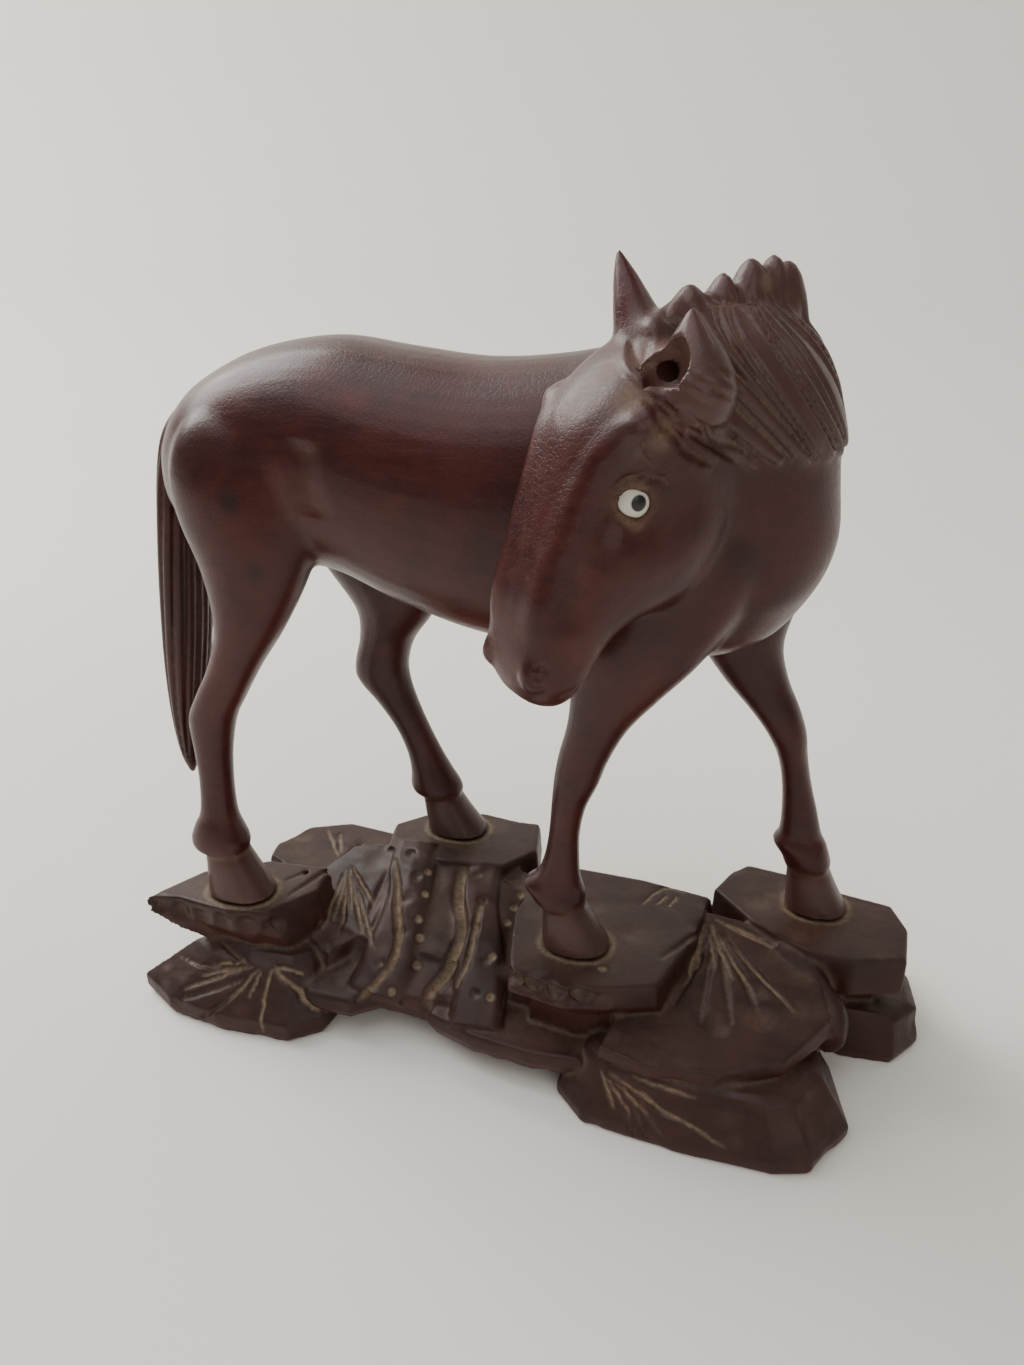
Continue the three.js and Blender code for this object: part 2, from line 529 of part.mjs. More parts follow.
// A fan of gouge strokes spreads from one point of the rocks seen from above, in x and y, or seen from the
// front, in x and z: direction and spread in degrees, and the nearest and farthest reach of its strokes.
const FANS = [
  { seen: 'above', from: [-42, 2], towards: -92, spread: 62, count: 5, reach: [3, 21] },
  { seen: 'front', from: [-50, 12], towards: -165, spread: 50, count: 4, reach: [3, 22] },
  { seen: 'above', from: [39, 3], towards: -82, spread: 74, count: 6, reach: [3, 23] },
  { seen: 'front', from: [27, 11], towards: -50, spread: 44, count: 4, reach: [2, 13] },
];
// Single channels beside the bands, seen from above: where they start and end.
const CHANNELS = [
  [[-19, 5], [-15, -20]],
  [[-33.5, 2], [-33, -12]],
  [[-5.5, 3], [1.5, -15]],
];
const FAR_OUT = 100; // strokes and dots start from outside the rocks and land on the first skin they meet

const feeler = new THREE.Raycaster();

function onRocks(target, [across, along], seen) {
  const [wide, deep, high] = standScale;
  if (seen === 'above') {
    feeler.set(point(across * wide, along * deep, FAR_OUT), point(0, 0, -1));
  } else {
    feeler.set(point(across * wide, -FAR_OUT, along * high), point(0, 1, 0));
  }
  const [hit] = feeler.intersectObject(target);
  return hit ? hit.point : null;
}

function stroke(target, [x0, y0], [x1, y1], width, seen) {
  const places = range(5).map((i) => onRocks(target, [x0 + ((x1 - x0) * i) / 4, y0 + ((y1 - y0) * i) / 4], seen));
  const met = places.filter((place) => place);
  if (met.length < 3) {
    return [];
  }
  const out = seen === 'above' ? point(0, 0, 1) : point(0, -1, 0);
  const aside = met[met.length - 1].clone().sub(met[0]).cross(out).normalize();
  const ribs = met.map((place, i) => {
    const radius = (width / 2) * (0.25 + 0.75 * Math.sin((Math.PI * (i + 0.5)) / met.length));
    const reach = aside.clone().multiplyScalar(radius);
    return { a: place.clone().add(reach), b: place.clone().sub(reach), half: radius };
  });
  return [loft(ribs, { rings: 4, sides: 4 })];
}

function gouges(target) {
  const fans = FANS.flatMap(({ seen, from, towards, spread, count, reach }) => range(count).flatMap((i) => {
    const angle = (towards + spread * (i / (count - 1) - 0.5)) * DEGREE;
    const far = reach[1] * (0.72 + 0.28 * Math.sin((Math.PI * (i + 0.5)) / count));
    const ends = [reach[0], far].map((r) => [from[0] + r * Math.cos(angle), from[1] + r * Math.sin(angle)]);
    return stroke(target, ends[0], ends[1], GOUGE_WIDTH * 0.85, seen);
  }));
  return [...fans, ...CHANNELS.flatMap(([start, end]) => stroke(target, start, end, GOUGE_WIDTH, 'above'))];
}

// Half-moon dots run down the middle of each band.
const DOTS_PER_BAND = 5;

function dots(target) {
  return BANDS.flatMap((rows) => range(DOTS_PER_BAND).flatMap((i) => {
    const t = (i + 0.9) / (DOTS_PER_BAND + 0.6);
    const [x, y] = [0, 1].map((axis) => runThrough(rows.map((row) => row[axis]), t));
    const place = onRocks(target, [x + (i % 2 ? 1.2 : -0.8), y], 'above');
    const radius = DOT_WIDTH / 2;
    return place ? [pebble(place.toArray(), [radius, radius * 0.8, radius * 0.7], 6)] : [];
  }));
}

// Scallops along the front lip of the ledge under the near fore hoof.
const SCALLOPS = [[3.4, -24.6], [8, -26.4], [13.2, -27], [18.4, -26]];

const scallops = () => SCALLOPS.map(([x, y]) => {
  const centre = placeOnStand([x, y - 0.6, DRAWN_LEDGE_HEIGHT - 1.6]).toArray();
  return pebble(centre, [2.6, 2.4, 1.7], 7);
});

function standSolid() {
  const rough = joinAll([...Object.values(ROCKS).map(rock), ...BANDS.map(band)].map(solidOf));
  const target = new THREE.Mesh(geometryOf(rough));
  return cutAll(rough, [...gouges(target), ...dots(target), ...scallops()].map(solidOf));
}

function namedMesh(name, solid, material) {
  const mesh = new THREE.Mesh(geometryOf(solid), material);
  mesh.name = name;
  return mesh;
}

const rosewood = () => new THREE.MeshStandardMaterial({ name: 'rosewood_lacquer', color: 0x5a2a24, roughness: 0.35 });
const standWood = () => new THREE.MeshStandardMaterial({ name: 'stand_wood', color: 0x47302b, roughness: 0.55 });
const inlay = () => new THREE.MeshStandardMaterial({ name: 'eye_inlay', color: 0xdcd8c2, roughness: 0.3 });

const group = new THREE.Group();
group.name = 'carved_horse_figure';
group.add(namedMesh('rock_stand', standSolid(), standWood()));
group.add(namedMesh('horse', horseSolid(), rosewood()));
group.add(namedMesh('left_eye', eyeSolid(1), inlay()));
group.add(namedMesh('right_eye', eyeSolid(-1), inlay()));

// The origin goes to the middle of the underside.
const box = new THREE.Box3().setFromObject(group, true);
const middle = box.getCenter(new THREE.Vector3());
for (const mesh of group.children) {
  mesh.geometry.translate(-middle.x, -middle.y, -box.min.z);
}

export default group;
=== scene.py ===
# %% [markdown]
# # A carved hardwood horse on its rock stand
# This lesson dresses the plain solids of a small carved figure: a dark reddish horse, about 150 mm high
# with its stand, that looks back over its right shoulder. The solids come packed, and stay where they are.
# We start with them.

# %% Load the frame
import math
import bmesh
import bpy
import numpy as np
from mathutils import Euler, Matrix, Vector


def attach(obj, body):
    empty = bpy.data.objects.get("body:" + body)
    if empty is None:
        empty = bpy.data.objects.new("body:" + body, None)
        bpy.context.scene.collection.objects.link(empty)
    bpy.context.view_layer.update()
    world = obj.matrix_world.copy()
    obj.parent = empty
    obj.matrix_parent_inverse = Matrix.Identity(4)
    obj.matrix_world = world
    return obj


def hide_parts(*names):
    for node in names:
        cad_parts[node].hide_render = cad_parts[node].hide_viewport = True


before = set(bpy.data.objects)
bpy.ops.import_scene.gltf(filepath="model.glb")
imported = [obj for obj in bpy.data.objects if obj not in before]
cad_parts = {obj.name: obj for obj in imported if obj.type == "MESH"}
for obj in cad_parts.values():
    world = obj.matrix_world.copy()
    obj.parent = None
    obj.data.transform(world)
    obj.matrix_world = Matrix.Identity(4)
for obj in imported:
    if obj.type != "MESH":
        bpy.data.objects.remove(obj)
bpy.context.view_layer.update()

MM = 0.001

# %% [markdown]
# ## The camera
# The picture is taken from close by, from above and in front of the horse's right shoulder, so the head looks
# large and the far legs small. The lens is wide: 27 mm for a picture that is 36 mm tall.

# %% Place the camera
CAMERA_PLACE = (50.5, -168.5, 156.6)  # mm
CAMERA_DOWN = 25.0  # degrees
CAMERA_ROUND = 17.5
LENS = 27.06  # mm, for a picture 36 mm tall

camera_data = bpy.data.cameras.new("camera")
camera_data.sensor_fit = "VERTICAL"
camera_data.sensor_height = 36.0
camera_data.lens = LENS
camera_data.clip_start = 0.01
camera = bpy.data.objects.new("camera", camera_data)
bpy.context.scene.collection.objects.link(camera)
camera.location = Vector(CAMERA_PLACE) * MM
camera.rotation_euler = Euler((math.radians(90 - CAMERA_DOWN), 0.0, math.radians(CAMERA_ROUND)))
bpy.context.scene.camera = camera
print("camera at", tuple(round(v, 4) for v in camera.location))

# %% [markdown]
# ## Sections and lofts
# A carver saws the block to an outline and then rounds it section by section. We do the same: a part of the
# body is a row of rounded sections, each drawn as a circle and pushed to its size, and bridged to the next.
# The rows of numbers are millimetres above the soles, as in the solids, so the two agree.

# %% Smooth rows and lofts
FIGURE_SHIFT = Vector((0.5, 2.1, 0.0))  # from the drawing's middle to the middle of the figure's box
SOLES = Vector((0.0, 0.0, 25.3))
HORSE_PLACE = Matrix.Translation(FIGURE_SHIFT + SOLES)


def run_through(values, t):
    last = len(values) - 1
    place = min(t * last, last - 1e-9)
    i = int(place)
    f = place - i
    a, b, c, d = (values[min(max(k, 0), last)] for k in (i - 1, i, i + 1, i + 2))
    slopes = ((f**3 - 2 * f**2 + f) * (c - a) + (f**3 - f**2) * (d - b)) / 2
    return (2 * f**3 - 3 * f**2 + 1) * b + (3 * f**2 - 2 * f**3) * c + slopes


def sections_of(ribs, rings):
    rows = []
    for i in range(rings):
        t = i / (rings - 1)
        ends = [Vector([run_through([rib[e][axis] for rib in ribs], t) for axis in range(3)]) for e in (0, 1)]
        rows.append((ends[0], ends[1], max(run_through([rib[2] for rib in ribs], t), 0.05)))
    return rows


def loft(bm, ribs, rings=40, sides=32, square=2.0, place=Matrix.Identity(4)):
    rows = sections_of(ribs, rings)
    middles = [(a + b) / 2 for a, b, _ in rows]
    last_edges = None
    for i, (a, b, half) in enumerate(rows):
        tangent = middles[min(i + 1, rings - 1)] - middles[max(i - 1, 0)]
        span = (a - b) / 2
        across = span.cross(tangent).normalized() * half
        ring = bmesh.ops.create_circle(bm, segments=sides, radius=1.0, cap_ends=i in (0, rings - 1))["verts"]
        for v in ring:
            c, s = v.co.x, v.co.y
            out = math.copysign(abs(c) ** (2 / square), c), math.copysign(abs(s) ** (2 / square), s)
            v.co = place @ (middles[i] + span * out[0] + across * out[1])
        ring_set = set(ring)
        edges = [e for v in ring for e in v.link_edges if set(e.verts) <= ring_set]
        edges = list(dict.fromkeys(edges))
        if last_edges:
            bmesh.ops.bridge_loops(bm, edges=last_edges + edges)
        last_edges = edges


def lump(bm, centre, radii, place=Matrix.Identity(4), detail=3):
    verts = bmesh.ops.create_icosphere(bm, subdivisions=detail, radius=1.0)["verts"]
    for v in verts:
        v.co = place @ (Vector(centre) + Vector(v.co[k] * radii[k] for k in range(3)))


print("loft and lump are ready")

# %% [markdown]
# ## Trunk, neck and legs
# The trunk is one long barrel. The neck stands on it and turns with the head. The hooves are short stacks
# of their own, so that the fetlock keeps its small overhang above the coronet.

# %% Trunk and neck values
# Trunk: place along the body, height of back and belly, half width. Neck: height, middle, half length, half
# width and turn in degrees.
TRUNK = [
    (-71.5, 88, 82, 2), (-70, 94, 77, 8), (-66, 99.5, 73, 12.5), (-60, 103.8, 71, 16), (-50, 108.2, 69, 18.2),
    (-36, 110.6, 68.5, 18.8), (-22, 109.2, 63.4, 19.6), (-8, 108, 59.6, 20), (6, 109.2, 58.6, 19.8),
    (20, 112, 60, 18.6), (32, 113, 65.5, 16.6), (42, 108, 73, 13.4), (48, 99, 79, 9), (50.5, 92, 84, 3),
]
NECK = [
    (62, 31, 0, 8, 10, 0), (66, 32, 0, 13, 13.5, 0), (74, 33, 0, 17, 15.8, 0), (83, 34, -2, 18.4, 15.5, 10),
    (92, 34.5, -4, 17.5, 14.8, 25), (100, 34.5, -5.5, 17.2, 13.8, 40), (107, 33.5, -6.5, 17, 12.2, 48),
    (112.5, 32.5, -7, 15.5, 9.5, 50), (116.8, 32, -7.5, 12.5, 5.5, 50), (118.6, 32, -8, 9, 2, 50),
]
print("sections:", len(TRUNK), "of the trunk,", len(NECK), "of the neck")

# %% Leg and tail values
# Each leg is a hoof and a limb: height, back, front, middle line and half width.
LEGS = {
    "near_hind": (
        [(0, -65, -50.5, -17.5, 5.8), (5.5, -64.8, -53.6, -17.5, 4.9), (11.4, -64.6, -56.8, -17.4, 4)],
        [(9.8, -65.6, -57.6, -17.3, 3.8), (10.6, -67.4, -55.8, -17.3, 4.9), (12.6, -67.8, -55.6, -17.3, 5),
         (15.6, -66.6, -56.8, -17.3, 4.5),
         (19, -65, -57.6, -17.2, 3.7), (26, -64.4, -57.6, -17, 3.4), (33, -64.6, -57, -16.8, 3.7),
         (40, -64.8, -55.4, -16.6, 4.4), (45, -62.6, -52.8, -16.4, 4.7), (52, -59, -48.8, -16, 5),
         (60, -57, -43.6, -15.2, 6.2), (70, -59, -38.4, -14, 7.6), (79, -63, -36, -13, 8.4),
         (87, -64.5, -37, -12, 8.6), (94, -62.5, -41, -10.5, 7.4), (99, -57, -47, -8, 4)],
    ),
    "far_hind": (
        [(0, -29.5, -15.5, 18.5, 5.6), (5, -30.2, -19.4, 18.5, 4.7), (10.4, -31, -23, 18.5, 3.9)],
        [(8.8, -31.4, -23.4, 18.4, 3.8), (9.6, -33, -21.6, 18.4, 4.7), (11.4, -33.6, -21.8, 18.4, 4.7),
         (14.4, -33.4, -23.6, 18.3, 4.2),
         (19, -34.2, -26, 18.2, 3.4), (25, -36.6, -28.8, 18, 3.3), (31, -40.6, -31.2, 17.8, 3.7),
         (36.5, -45, -32.8, 17.6, 4.4), (41, -45, -33, 17.4, 4.7), (47, -43.4, -31, 17, 5),
         (54, -43.4, -26, 16.2, 6), (62, -48, -23, 15, 7.2), (72, -55, -24.5, 13.8, 8.2),
         (82, -60, -30, 12.6, 8.8), (91, -62, -38, 11, 8), (99, -56, -46, 8, 4)],
    ),
    "near_fore": (
        [(0, 6.8, 20.4, -13, 5.7), (5, 6.8, 17.4, -13, 4.8), (10.2, 6.8, 14, -13, 3.9)],
        [(8.6, 6.4, 13.4, -13, 3.6), (9.4, 5.4, 14.8, -13, 4.6), (11.2, 4, 15, -13, 4.8),
         (12.8, 2.8, 14.6, -13, 4.5), (15, 5.2, 13.9, -13.1, 4), (19, 6.8, 13.6, -13.2, 3.3),
         (25, 7.8, 13.6, -13.4, 3.1), (31, 8.2, 14.6, -13.5, 3.5), (36.5, 8.6, 16.8, -13.6, 4.3),
         (42, 9.4, 18.6, -13.8, 4.5), (49, 11, 22, -14, 5), (56, 11.5, 27.6, -14, 6.2), (63, 12, 33.5, -13.8, 7.2),
         (74, 14, 40, -13, 8), (86, 18, 43, -11.5, 7.6), (97, 22, 40, -9.5, 6)],
    ),
    "far_fore": (
        [(0, 51.6, 64.2, 13.2, 5.5), (5, 51.3, 61.4, 13.2, 4.8), (10.6, 51, 58.8, 13.2, 4)],
        [(9.2, 51.2, 58, 13.2, 3.7), (10, 50.4, 59.6, 13.2, 4.5), (12, 49.6, 59.2, 13.2, 4.6),
         (14.8, 47.6, 58.2, 13.2, 4.3),
         (17, 48.6, 57, 13.2, 3.7), (22, 48.6, 55.6, 13.1, 3.2), (28, 48, 53.8, 13, 3.1),
         (34, 46.6, 52.4, 12.9, 3.6), (39, 44, 51.6, 12.8, 4.3), (44, 40, 49.8, 12.7, 4.6),
         (50, 34.4, 47, 12.6, 5.2), (57, 29.5, 45.4, 12.4, 6.2), (65, 26.5, 47, 12, 7),
         (75, 25.5, 49, 11.2, 7.6), (87, 27, 48.5, 10, 7.2), (98, 29, 43, 8, 5.5)],
    ),
}
TAIL = [
    (-58, 95, 3, 3), (-65, 96, 3.6, 4), (-70, 91.5, 3.9, 5), (-72.4, 83, 4, 6), (-73.8, 70, 4.4, 6.8),
    (-75.4, 55, 4.6, 6.8), (-77.2, 41, 4.2, 6), (-78.8, 29, 3.3, 4.4), (-79.9, 19.5, 1.9, 2.4),
    (-80, 14.5, 0.5, 0.6),
]
print("legs:", ", ".join(LEGS))

# %% Loft the body
horse_bm = bmesh.new()

loft(horse_bm, [(Vector((x, 0, back)), Vector((x, 0, belly)), half) for x, back, belly, half in TRUNK],
     rings=70, sides=48, square=2.15)

neck_ribs = []
for height, x, y, along, across, turn in NECK:
    reach = Vector((math.cos(math.radians(turn)), math.sin(math.radians(turn)), 0)) * along
    neck_ribs.append((Vector((x, y, height)) + reach, Vector((x, y, height)) - reach, across))
loft(horse_bm, neck_ribs, rings=40, sides=48)

for hoof, limb in LEGS.values():
    for rows, rings, square in ((hoof, 10, 2.3), (limb, 70, 2.15)):
        ribs = [(Vector((front, y, h)), Vector((back, y, h)), half) for h, back, front, y, half in rows]
        loft(horse_bm, ribs, rings=rings, sides=28, square=square)

tail_ribs = []
for i, (x, height, depth, half) in enumerate(TAIL):
    x0, h0 = TAIL[max(i - 1, 0)][:2]
    x1, h1 = TAIL[min(i + 1, len(TAIL) - 1)][:2]
    back = Vector((h1 - h0, 0, x0 - x1)).normalized() * depth
    tail_ribs.append((Vector((x, 1, height)) + back, Vector((x, 1, height)) - back, half))
loft(horse_bm, tail_ribs, rings=60, sides=32)
print("body vertices:", len(horse_bm.verts))

# %% [markdown]
# ## The head
# The head has its own frame, hung from the poll and turned back over the shoulder, so its values read as on
# a straight head: depth below the poll, bridge, jaw, half width. Cheeks, brows, eyelids, nostrils and chin
# are lumps set into it, which the sanding later melts into one skin.

# %% Head values and forms
POLL = Vector((17.9, -25.6, 114.0))
HEAD_TURN, HEAD_NOD, HEAD_LEAN = -128.0, 18.0, -4.0
HEAD_FRAME = (
    Matrix.Translation(POLL)
    @ Matrix.Rotation(math.radians(HEAD_TURN), 4, "Z")
    @ Matrix.Rotation(math.radians(-HEAD_NOD), 4, "Y")
    @ Matrix.Rotation(math.radians(HEAD_LEAN), 4, "X")
)
HEAD = [
    (-4, -9, -15, 4), (-1.5, -5, -20, 8), (4, -0.8, -25.6, 11.4), (11, 2.2, -29, 12.8), (18, 2.6, -31, 12.6),
    (25, 2.6, -31.4, 12.2), (29, 2.6, -31, 11.4), (32, 2.6, -26.6, 10.8), (35, 2.5, -21, 10.2),
    (39, 2.2, -15.4, 9.6), (45, 1.2, -13, 8.8), (49.6, -0.6, -12, 7.8), (52.9, -3.4, -9.8, 5.2),
    (53.6, -5.6, -7.8, 1),
]
EYE = Vector((-6.8, 7.4, -19.2))
EYE_RADIUS = 3.0
EYE_SHOWS = 2.35  # from the eye's middle up to the skin round it
# An ear's leaf: share of its length, then width and thickness as shares of the ear's own.
BROAD_LEAF = [(0, 0.7, 0.9), (0.2, 0.95, 1), (0.4, 1, 0.95), (0.6, 0.8, 0.75), (0.8, 0.46, 0.45), (1, 0.05, 0.1)]
SLIM_LEAF = [(0, 1, 1), (0.2, 0.95, 0.95), (0.4, 0.78, 0.8), (0.6, 0.56, 0.6), (0.8, 0.32, 0.38), (1, 0.05, 0.1)]
EARS = [
    {"root": (-11, 10.6, -7), "tip": (-6.2, 7.6, 7.6), "listens": (0.98, -0.12, -0.05), "half": 6.2,
     "deep": 5.8, "leaf": BROAD_LEAF},
    {"root": (-10.5, -0.8, -2), "tip": (-5, -10, 12.9), "listens": (0.3, -1, 0.1), "half": 5, "deep": 4.6,
     "leaf": SLIM_LEAF},
]


def ear_ribs(ear, size, forward, start=0.0):
    base, tip = Vector(ear["root"]), Vector(ear["tip"])
    axis = tip - base
    towards = Vector(ear["listens"])
    towards = (towards - axis * (towards.dot(axis) / axis.length_squared)).normalized()
    ribs = []
    for share, wide, thick in ear["leaf"]:
        along = start + share * (1 - start)
        middle = base + axis * along + towards * forward * ear["deep"]
        reach = towards * ear["deep"] * thick * size
        ribs.append((middle + reach, middle - reach, ear["half"] * wide * size))
    return ribs


loft(horse_bm, [(Vector((front, 0, -d)), Vector((back, 0, -d)), half) for d, front, back, half in HEAD],
     rings=64, sides=44, square=2.7, place=HEAD_FRAME)
for side in (-1, 1):
    lump(horse_bm, (-17, 7.6 * side, -20.5), (10, 5.6, 11), HEAD_FRAME)
    lump(horse_bm, (-4, 9.4 * side, -9.4), (4.2, 2.8, 3.4), HEAD_FRAME)
    lump(horse_bm, (-2.5, 5.2 * side, -47.4), (3.1, 2.6, 3.4), HEAD_FRAME)
lump(horse_bm, (-9.8, 0, -50), (3, 4.8, 2.8), HEAD_FRAME)
for x, y, z, radii in ((-30, 8, -10, (8, 6, 12)), (-33, 6, -20, (7, 6, 9))):
    lump(horse_bm, (x, y, z), radii, HEAD_FRAME)
for ear in EARS:
    loft(horse_bm, ear_ribs(ear, 1.0, 0.0), rings=24, sides=24, place=HEAD_FRAME)
print("with head:", len(horse_bm.verts))

# %% [markdown]
# ## The mane
# The mane is a standing ridge of tufts along the crest, and locks that fan from it down the outer side of the
# neck. Hair drawn as separate threads would be too fine for wood, so the locks are thin leaves that lie
# on the neck, and their strands are cut in later with a veiner, as on the real figure.

# %% Crest and locks
CREST_FOOT = 104
CREST_HALF = 3.4
CREST = [
    (14, 0, 110), (20, 1, 113.5), (24.6, 2, 117.4), (26.8, 2.2, 116.6), (31, 2.6, 120.4), (33.4, 2.4, 119.4),
    (37.6, 2.2, 122.8), (39.8, 0.8, 122.4), (39.6, -1.2, 124), (38.8, -1.8, 123.3), (37.7, -2.9, 124.8),
    (36.3, -4.4, 123), (34.9, -6, 124.4), (33.8, -7.1, 123.4), (32.6, -8.3, 120.4), (31.3, -9.6, 122.6),
    (29.3, -11.8, 119.6), (27.2, -14.3, 121.2), (25.6, -16.4, 119), (21.4, -20.8, 116.6),
]
LOCK_COUNT = 9
LOCK_TOP, LOCK_END = 117.5, 96.5
LOCK_HALF, LOCK_THICKNESS = 4.6, 1.3
LOCK_ANGLES = (-165, 47)
LOCK_SWEEP = (105, 5)


def on_neck(height, compass):
    above = next((i for i, rib in enumerate(NECK) if rib[0] > height), len(NECK) - 1)
    low, high = NECK[max(above, 1) - 1], NECK[max(above, 1)]
    f = (height - low[0]) / (high[0] - low[0])
    _, x, y, along, across, turn = (a + f * (b - a) for a, b in zip(low, high))
    angle, local = math.radians(compass), math.radians(compass - turn)
    out = along * across / math.hypot(across * math.cos(local), along * math.sin(local))
    return Vector((x + out * math.cos(angle), y + out * math.sin(angle), height))


def lock_ribs(index):
    share = index / (LOCK_COUNT - 1)
    start, sweep = (first + share * (last - first) for first, last in (LOCK_ANGLES, LOCK_SWEEP))
    ribs = []
    for t in (0, 0.25, 0.5, 0.75, 0.92, 1):
        height = LOCK_TOP + (LOCK_END - LOCK_TOP) * t
        compass = start + sweep * t
        taper = min(1, (1.04 - t) * 4)
        pace = (on_neck(height, compass) - on_neck(height, compass + 1)).length
        turn = LOCK_HALF * taper / max(pace, 0.12)
        ribs.append((on_neck(height, compass + turn), on_neck(height, compass - turn),
                     LOCK_THICKNESS * (0.4 + 0.6 * taper)))
    return ribs


loft(horse_bm, [(Vector((x, y, top)), Vector((x, y, CREST_FOOT)), CREST_HALF) for x, y, top in CREST],
     rings=90, sides=20, square=2.2)
for index in range(LOCK_COUNT):
    loft(horse_bm, lock_ribs(index), rings=30, sides=16)
print("with mane:", len(horse_bm.verts))

# %% [markdown]
# ## One skin
# The forms still cross each other. A voxel remesh wraps them in one closed skin, as if carved from one
# block, and smoothing then rounds the lines where they meet, like rifflers and sandpaper. Joints of the body
# get more passes than the mane and hooves, which stay crisp.

# %% Tools for skins
def new_piece(bm, name):
    mesh = bpy.data.meshes.new(name)
    bm.to_mesh(mesh)
    bm.free()
    piece = bpy.data.objects.new(name, mesh)
    bpy.context.scene.collection.objects.link(piece)
    return piece


def settled(piece):
    mesh = bpy.data.meshes.new_from_object(piece.evaluated_get(bpy.context.evaluated_depsgraph_get()))
    piece.modifiers.clear()
    piece.data = mesh
    return piece


def one_skin(bm, name, voxel):
    bmesh.ops.scale(bm, vec=(MM,) * 3, verts=bm.verts)
    piece = new_piece(bm, name)
    remesh = piece.modifiers.new("one skin", "REMESH")
    remesh.mode = "VOXEL"
    remesh.voxel_size = voxel * MM
    remesh.use_smooth_shade = True
    return settled(piece)


def points_of(piece):
    flat = np.empty(len(piece.data.vertices) * 3, np.float32)
    piece.data.vertices.foreach_get("co", flat)
    return flat.reshape(-1, 3).astype(float) / MM


def normals_of(piece):
    flat = np.empty(len(piece.data.vertices) * 3, np.float32)
    piece.data.vertex_normals.foreach_get("vector", flat)
    return flat.reshape(-1, 3).astype(float)


def put_points(piece, points):
    piece.data.vertices.foreach_set("co", (points * MM).astype(np.float32).ravel())
    piece.data.update()


print("skin tools are ready")

# %% Sanding
def sand(piece, passes, weights=None):
    smooth = piece.modifiers.new("sanding", "SMOOTH")
    smooth.factor = 0.5
    smooth.iterations = passes
    if weights is not None:
        group = piece.vertex_groups.new(name="sanded")
        for level in range(1, 11):
            chosen = np.flatnonzero(np.round(weights * 10) == level)
            group.add(chosen.tolist(), level / 10, "REPLACE")
        smooth.vertex_group = group.name
    settled(piece)
    piece.vertex_groups.clear()


def nearness(points, spots):
    mask = np.zeros(len(points))
    for centre, radius in spots:
        gap = np.linalg.norm(points - np.array(centre), axis=1) / radius
        mask = np.maximum(mask, np.clip(1.4 - gap, 0, 1))
    return mask


print("sanding tools are ready")

# %% Melt the forms together
HORSE_VOXEL = 0.45  # mm
for v in horse_bm.verts:
    v.co = HORSE_PLACE @ v.co
horse = one_skin(horse_bm, "carved_horse", HORSE_VOXEL)
print("skin:", len(horse.data.vertices), "points")

# %% Sand the joints
# Middles and reaches, mm above the soles, of the places where forms flow into each other, on the body and on
# the head.
JOINTS = [
    ((33, -12, 84), 17), ((40, 6, 90), 16), ((26, 10, 92), 16), ((20, -14, 100), 12), ((30, 2, 100), 14),
    ((-50, -14, 82), 18), ((-48, 13, 82), 18), ((26, -14, 68), 14), ((36, 13, 68), 14), ((-66, 0, 94), 6),
    ((24, -24, 92), 13), ((28, -18, 78), 12), ((35.5, -19.5, 87), 6), ((34, -17.5, 81.5), 5),
    ((21.3, -20.6, 115.4), 4.2), ((22.8, -22.6, 113.2), 3),
]
HEAD_JOINTS = [
    ((-30, 11, -12), 11), ((-31, 9, -22), 9), ((-14, 10, -18), 12), ((-8, 8, -34), 9), ((0, 0, -14), 13),
]
PASTERN, CREST_FROM = 14, 119.5  # mm, hooves below and mane above stay crisp
ALL_OVER, BODY_PASSES, JOINT_PASSES = 2, 6, 90
shift = np.array(FIGURE_SHIFT + SOLES)
horse_points = points_of(horse)
JOINTS += [(tuple(HEAD_FRAME @ Vector(place)), reach) for place, reach in HEAD_JOINTS]
high_up = np.clip((horse_points[:, 2] - SOLES.z - PASTERN) / 6, 0, 1)
high_up *= np.clip((CREST_FROM - horse_points[:, 2] + SOLES.z) / 2, 0.2, 1)
sand(horse, ALL_OVER)
sand(horse, BODY_PASSES, high_up)
sand(horse, JOINT_PASSES, nearness(horse_points - shift, JOINTS))

# %% [markdown]
# ## The face
# A broad flat forehead runs down to the muzzle. A soft ridge from each brow bounds it, and beside the ridge
# the face falls into the hollow that holds the eye. These are long shallow forms, pressed into the skin
# along its own normals, as a carver pares them.

# %% Tools for paring
HEAD_PLACE = HORSE_PLACE @ HEAD_FRAME


def along_path(points, path):
    best = np.full(len(points), 1e9)
    where = np.zeros(len(points))
    steps = np.linalg.norm(np.diff(path, axis=0), axis=1)
    start = 0.0
    for a, b, step in zip(path[:-1], path[1:], steps):
        f = np.clip(((points - a) @ (b - a)) / max(step * step, 1e-9), 0, 1)
        gap = np.linalg.norm(points - a - f[:, None] * (b - a), axis=1)
        closer = gap < best
        best[closer] = gap[closer]
        where[closer] = (start + f[closer] * step) / steps.sum()
        start += step
    return best, where


def smooth_path(corners, count=12):
    return np.array([[run_through([c[k] for c in corners], i / (count - 1)) for k in range(3)]
                     for i in range(count)])


def laid_on(points, path):
    return np.array([points[np.argmin(((points - spot) ** 2).sum(1))] for spot in path])


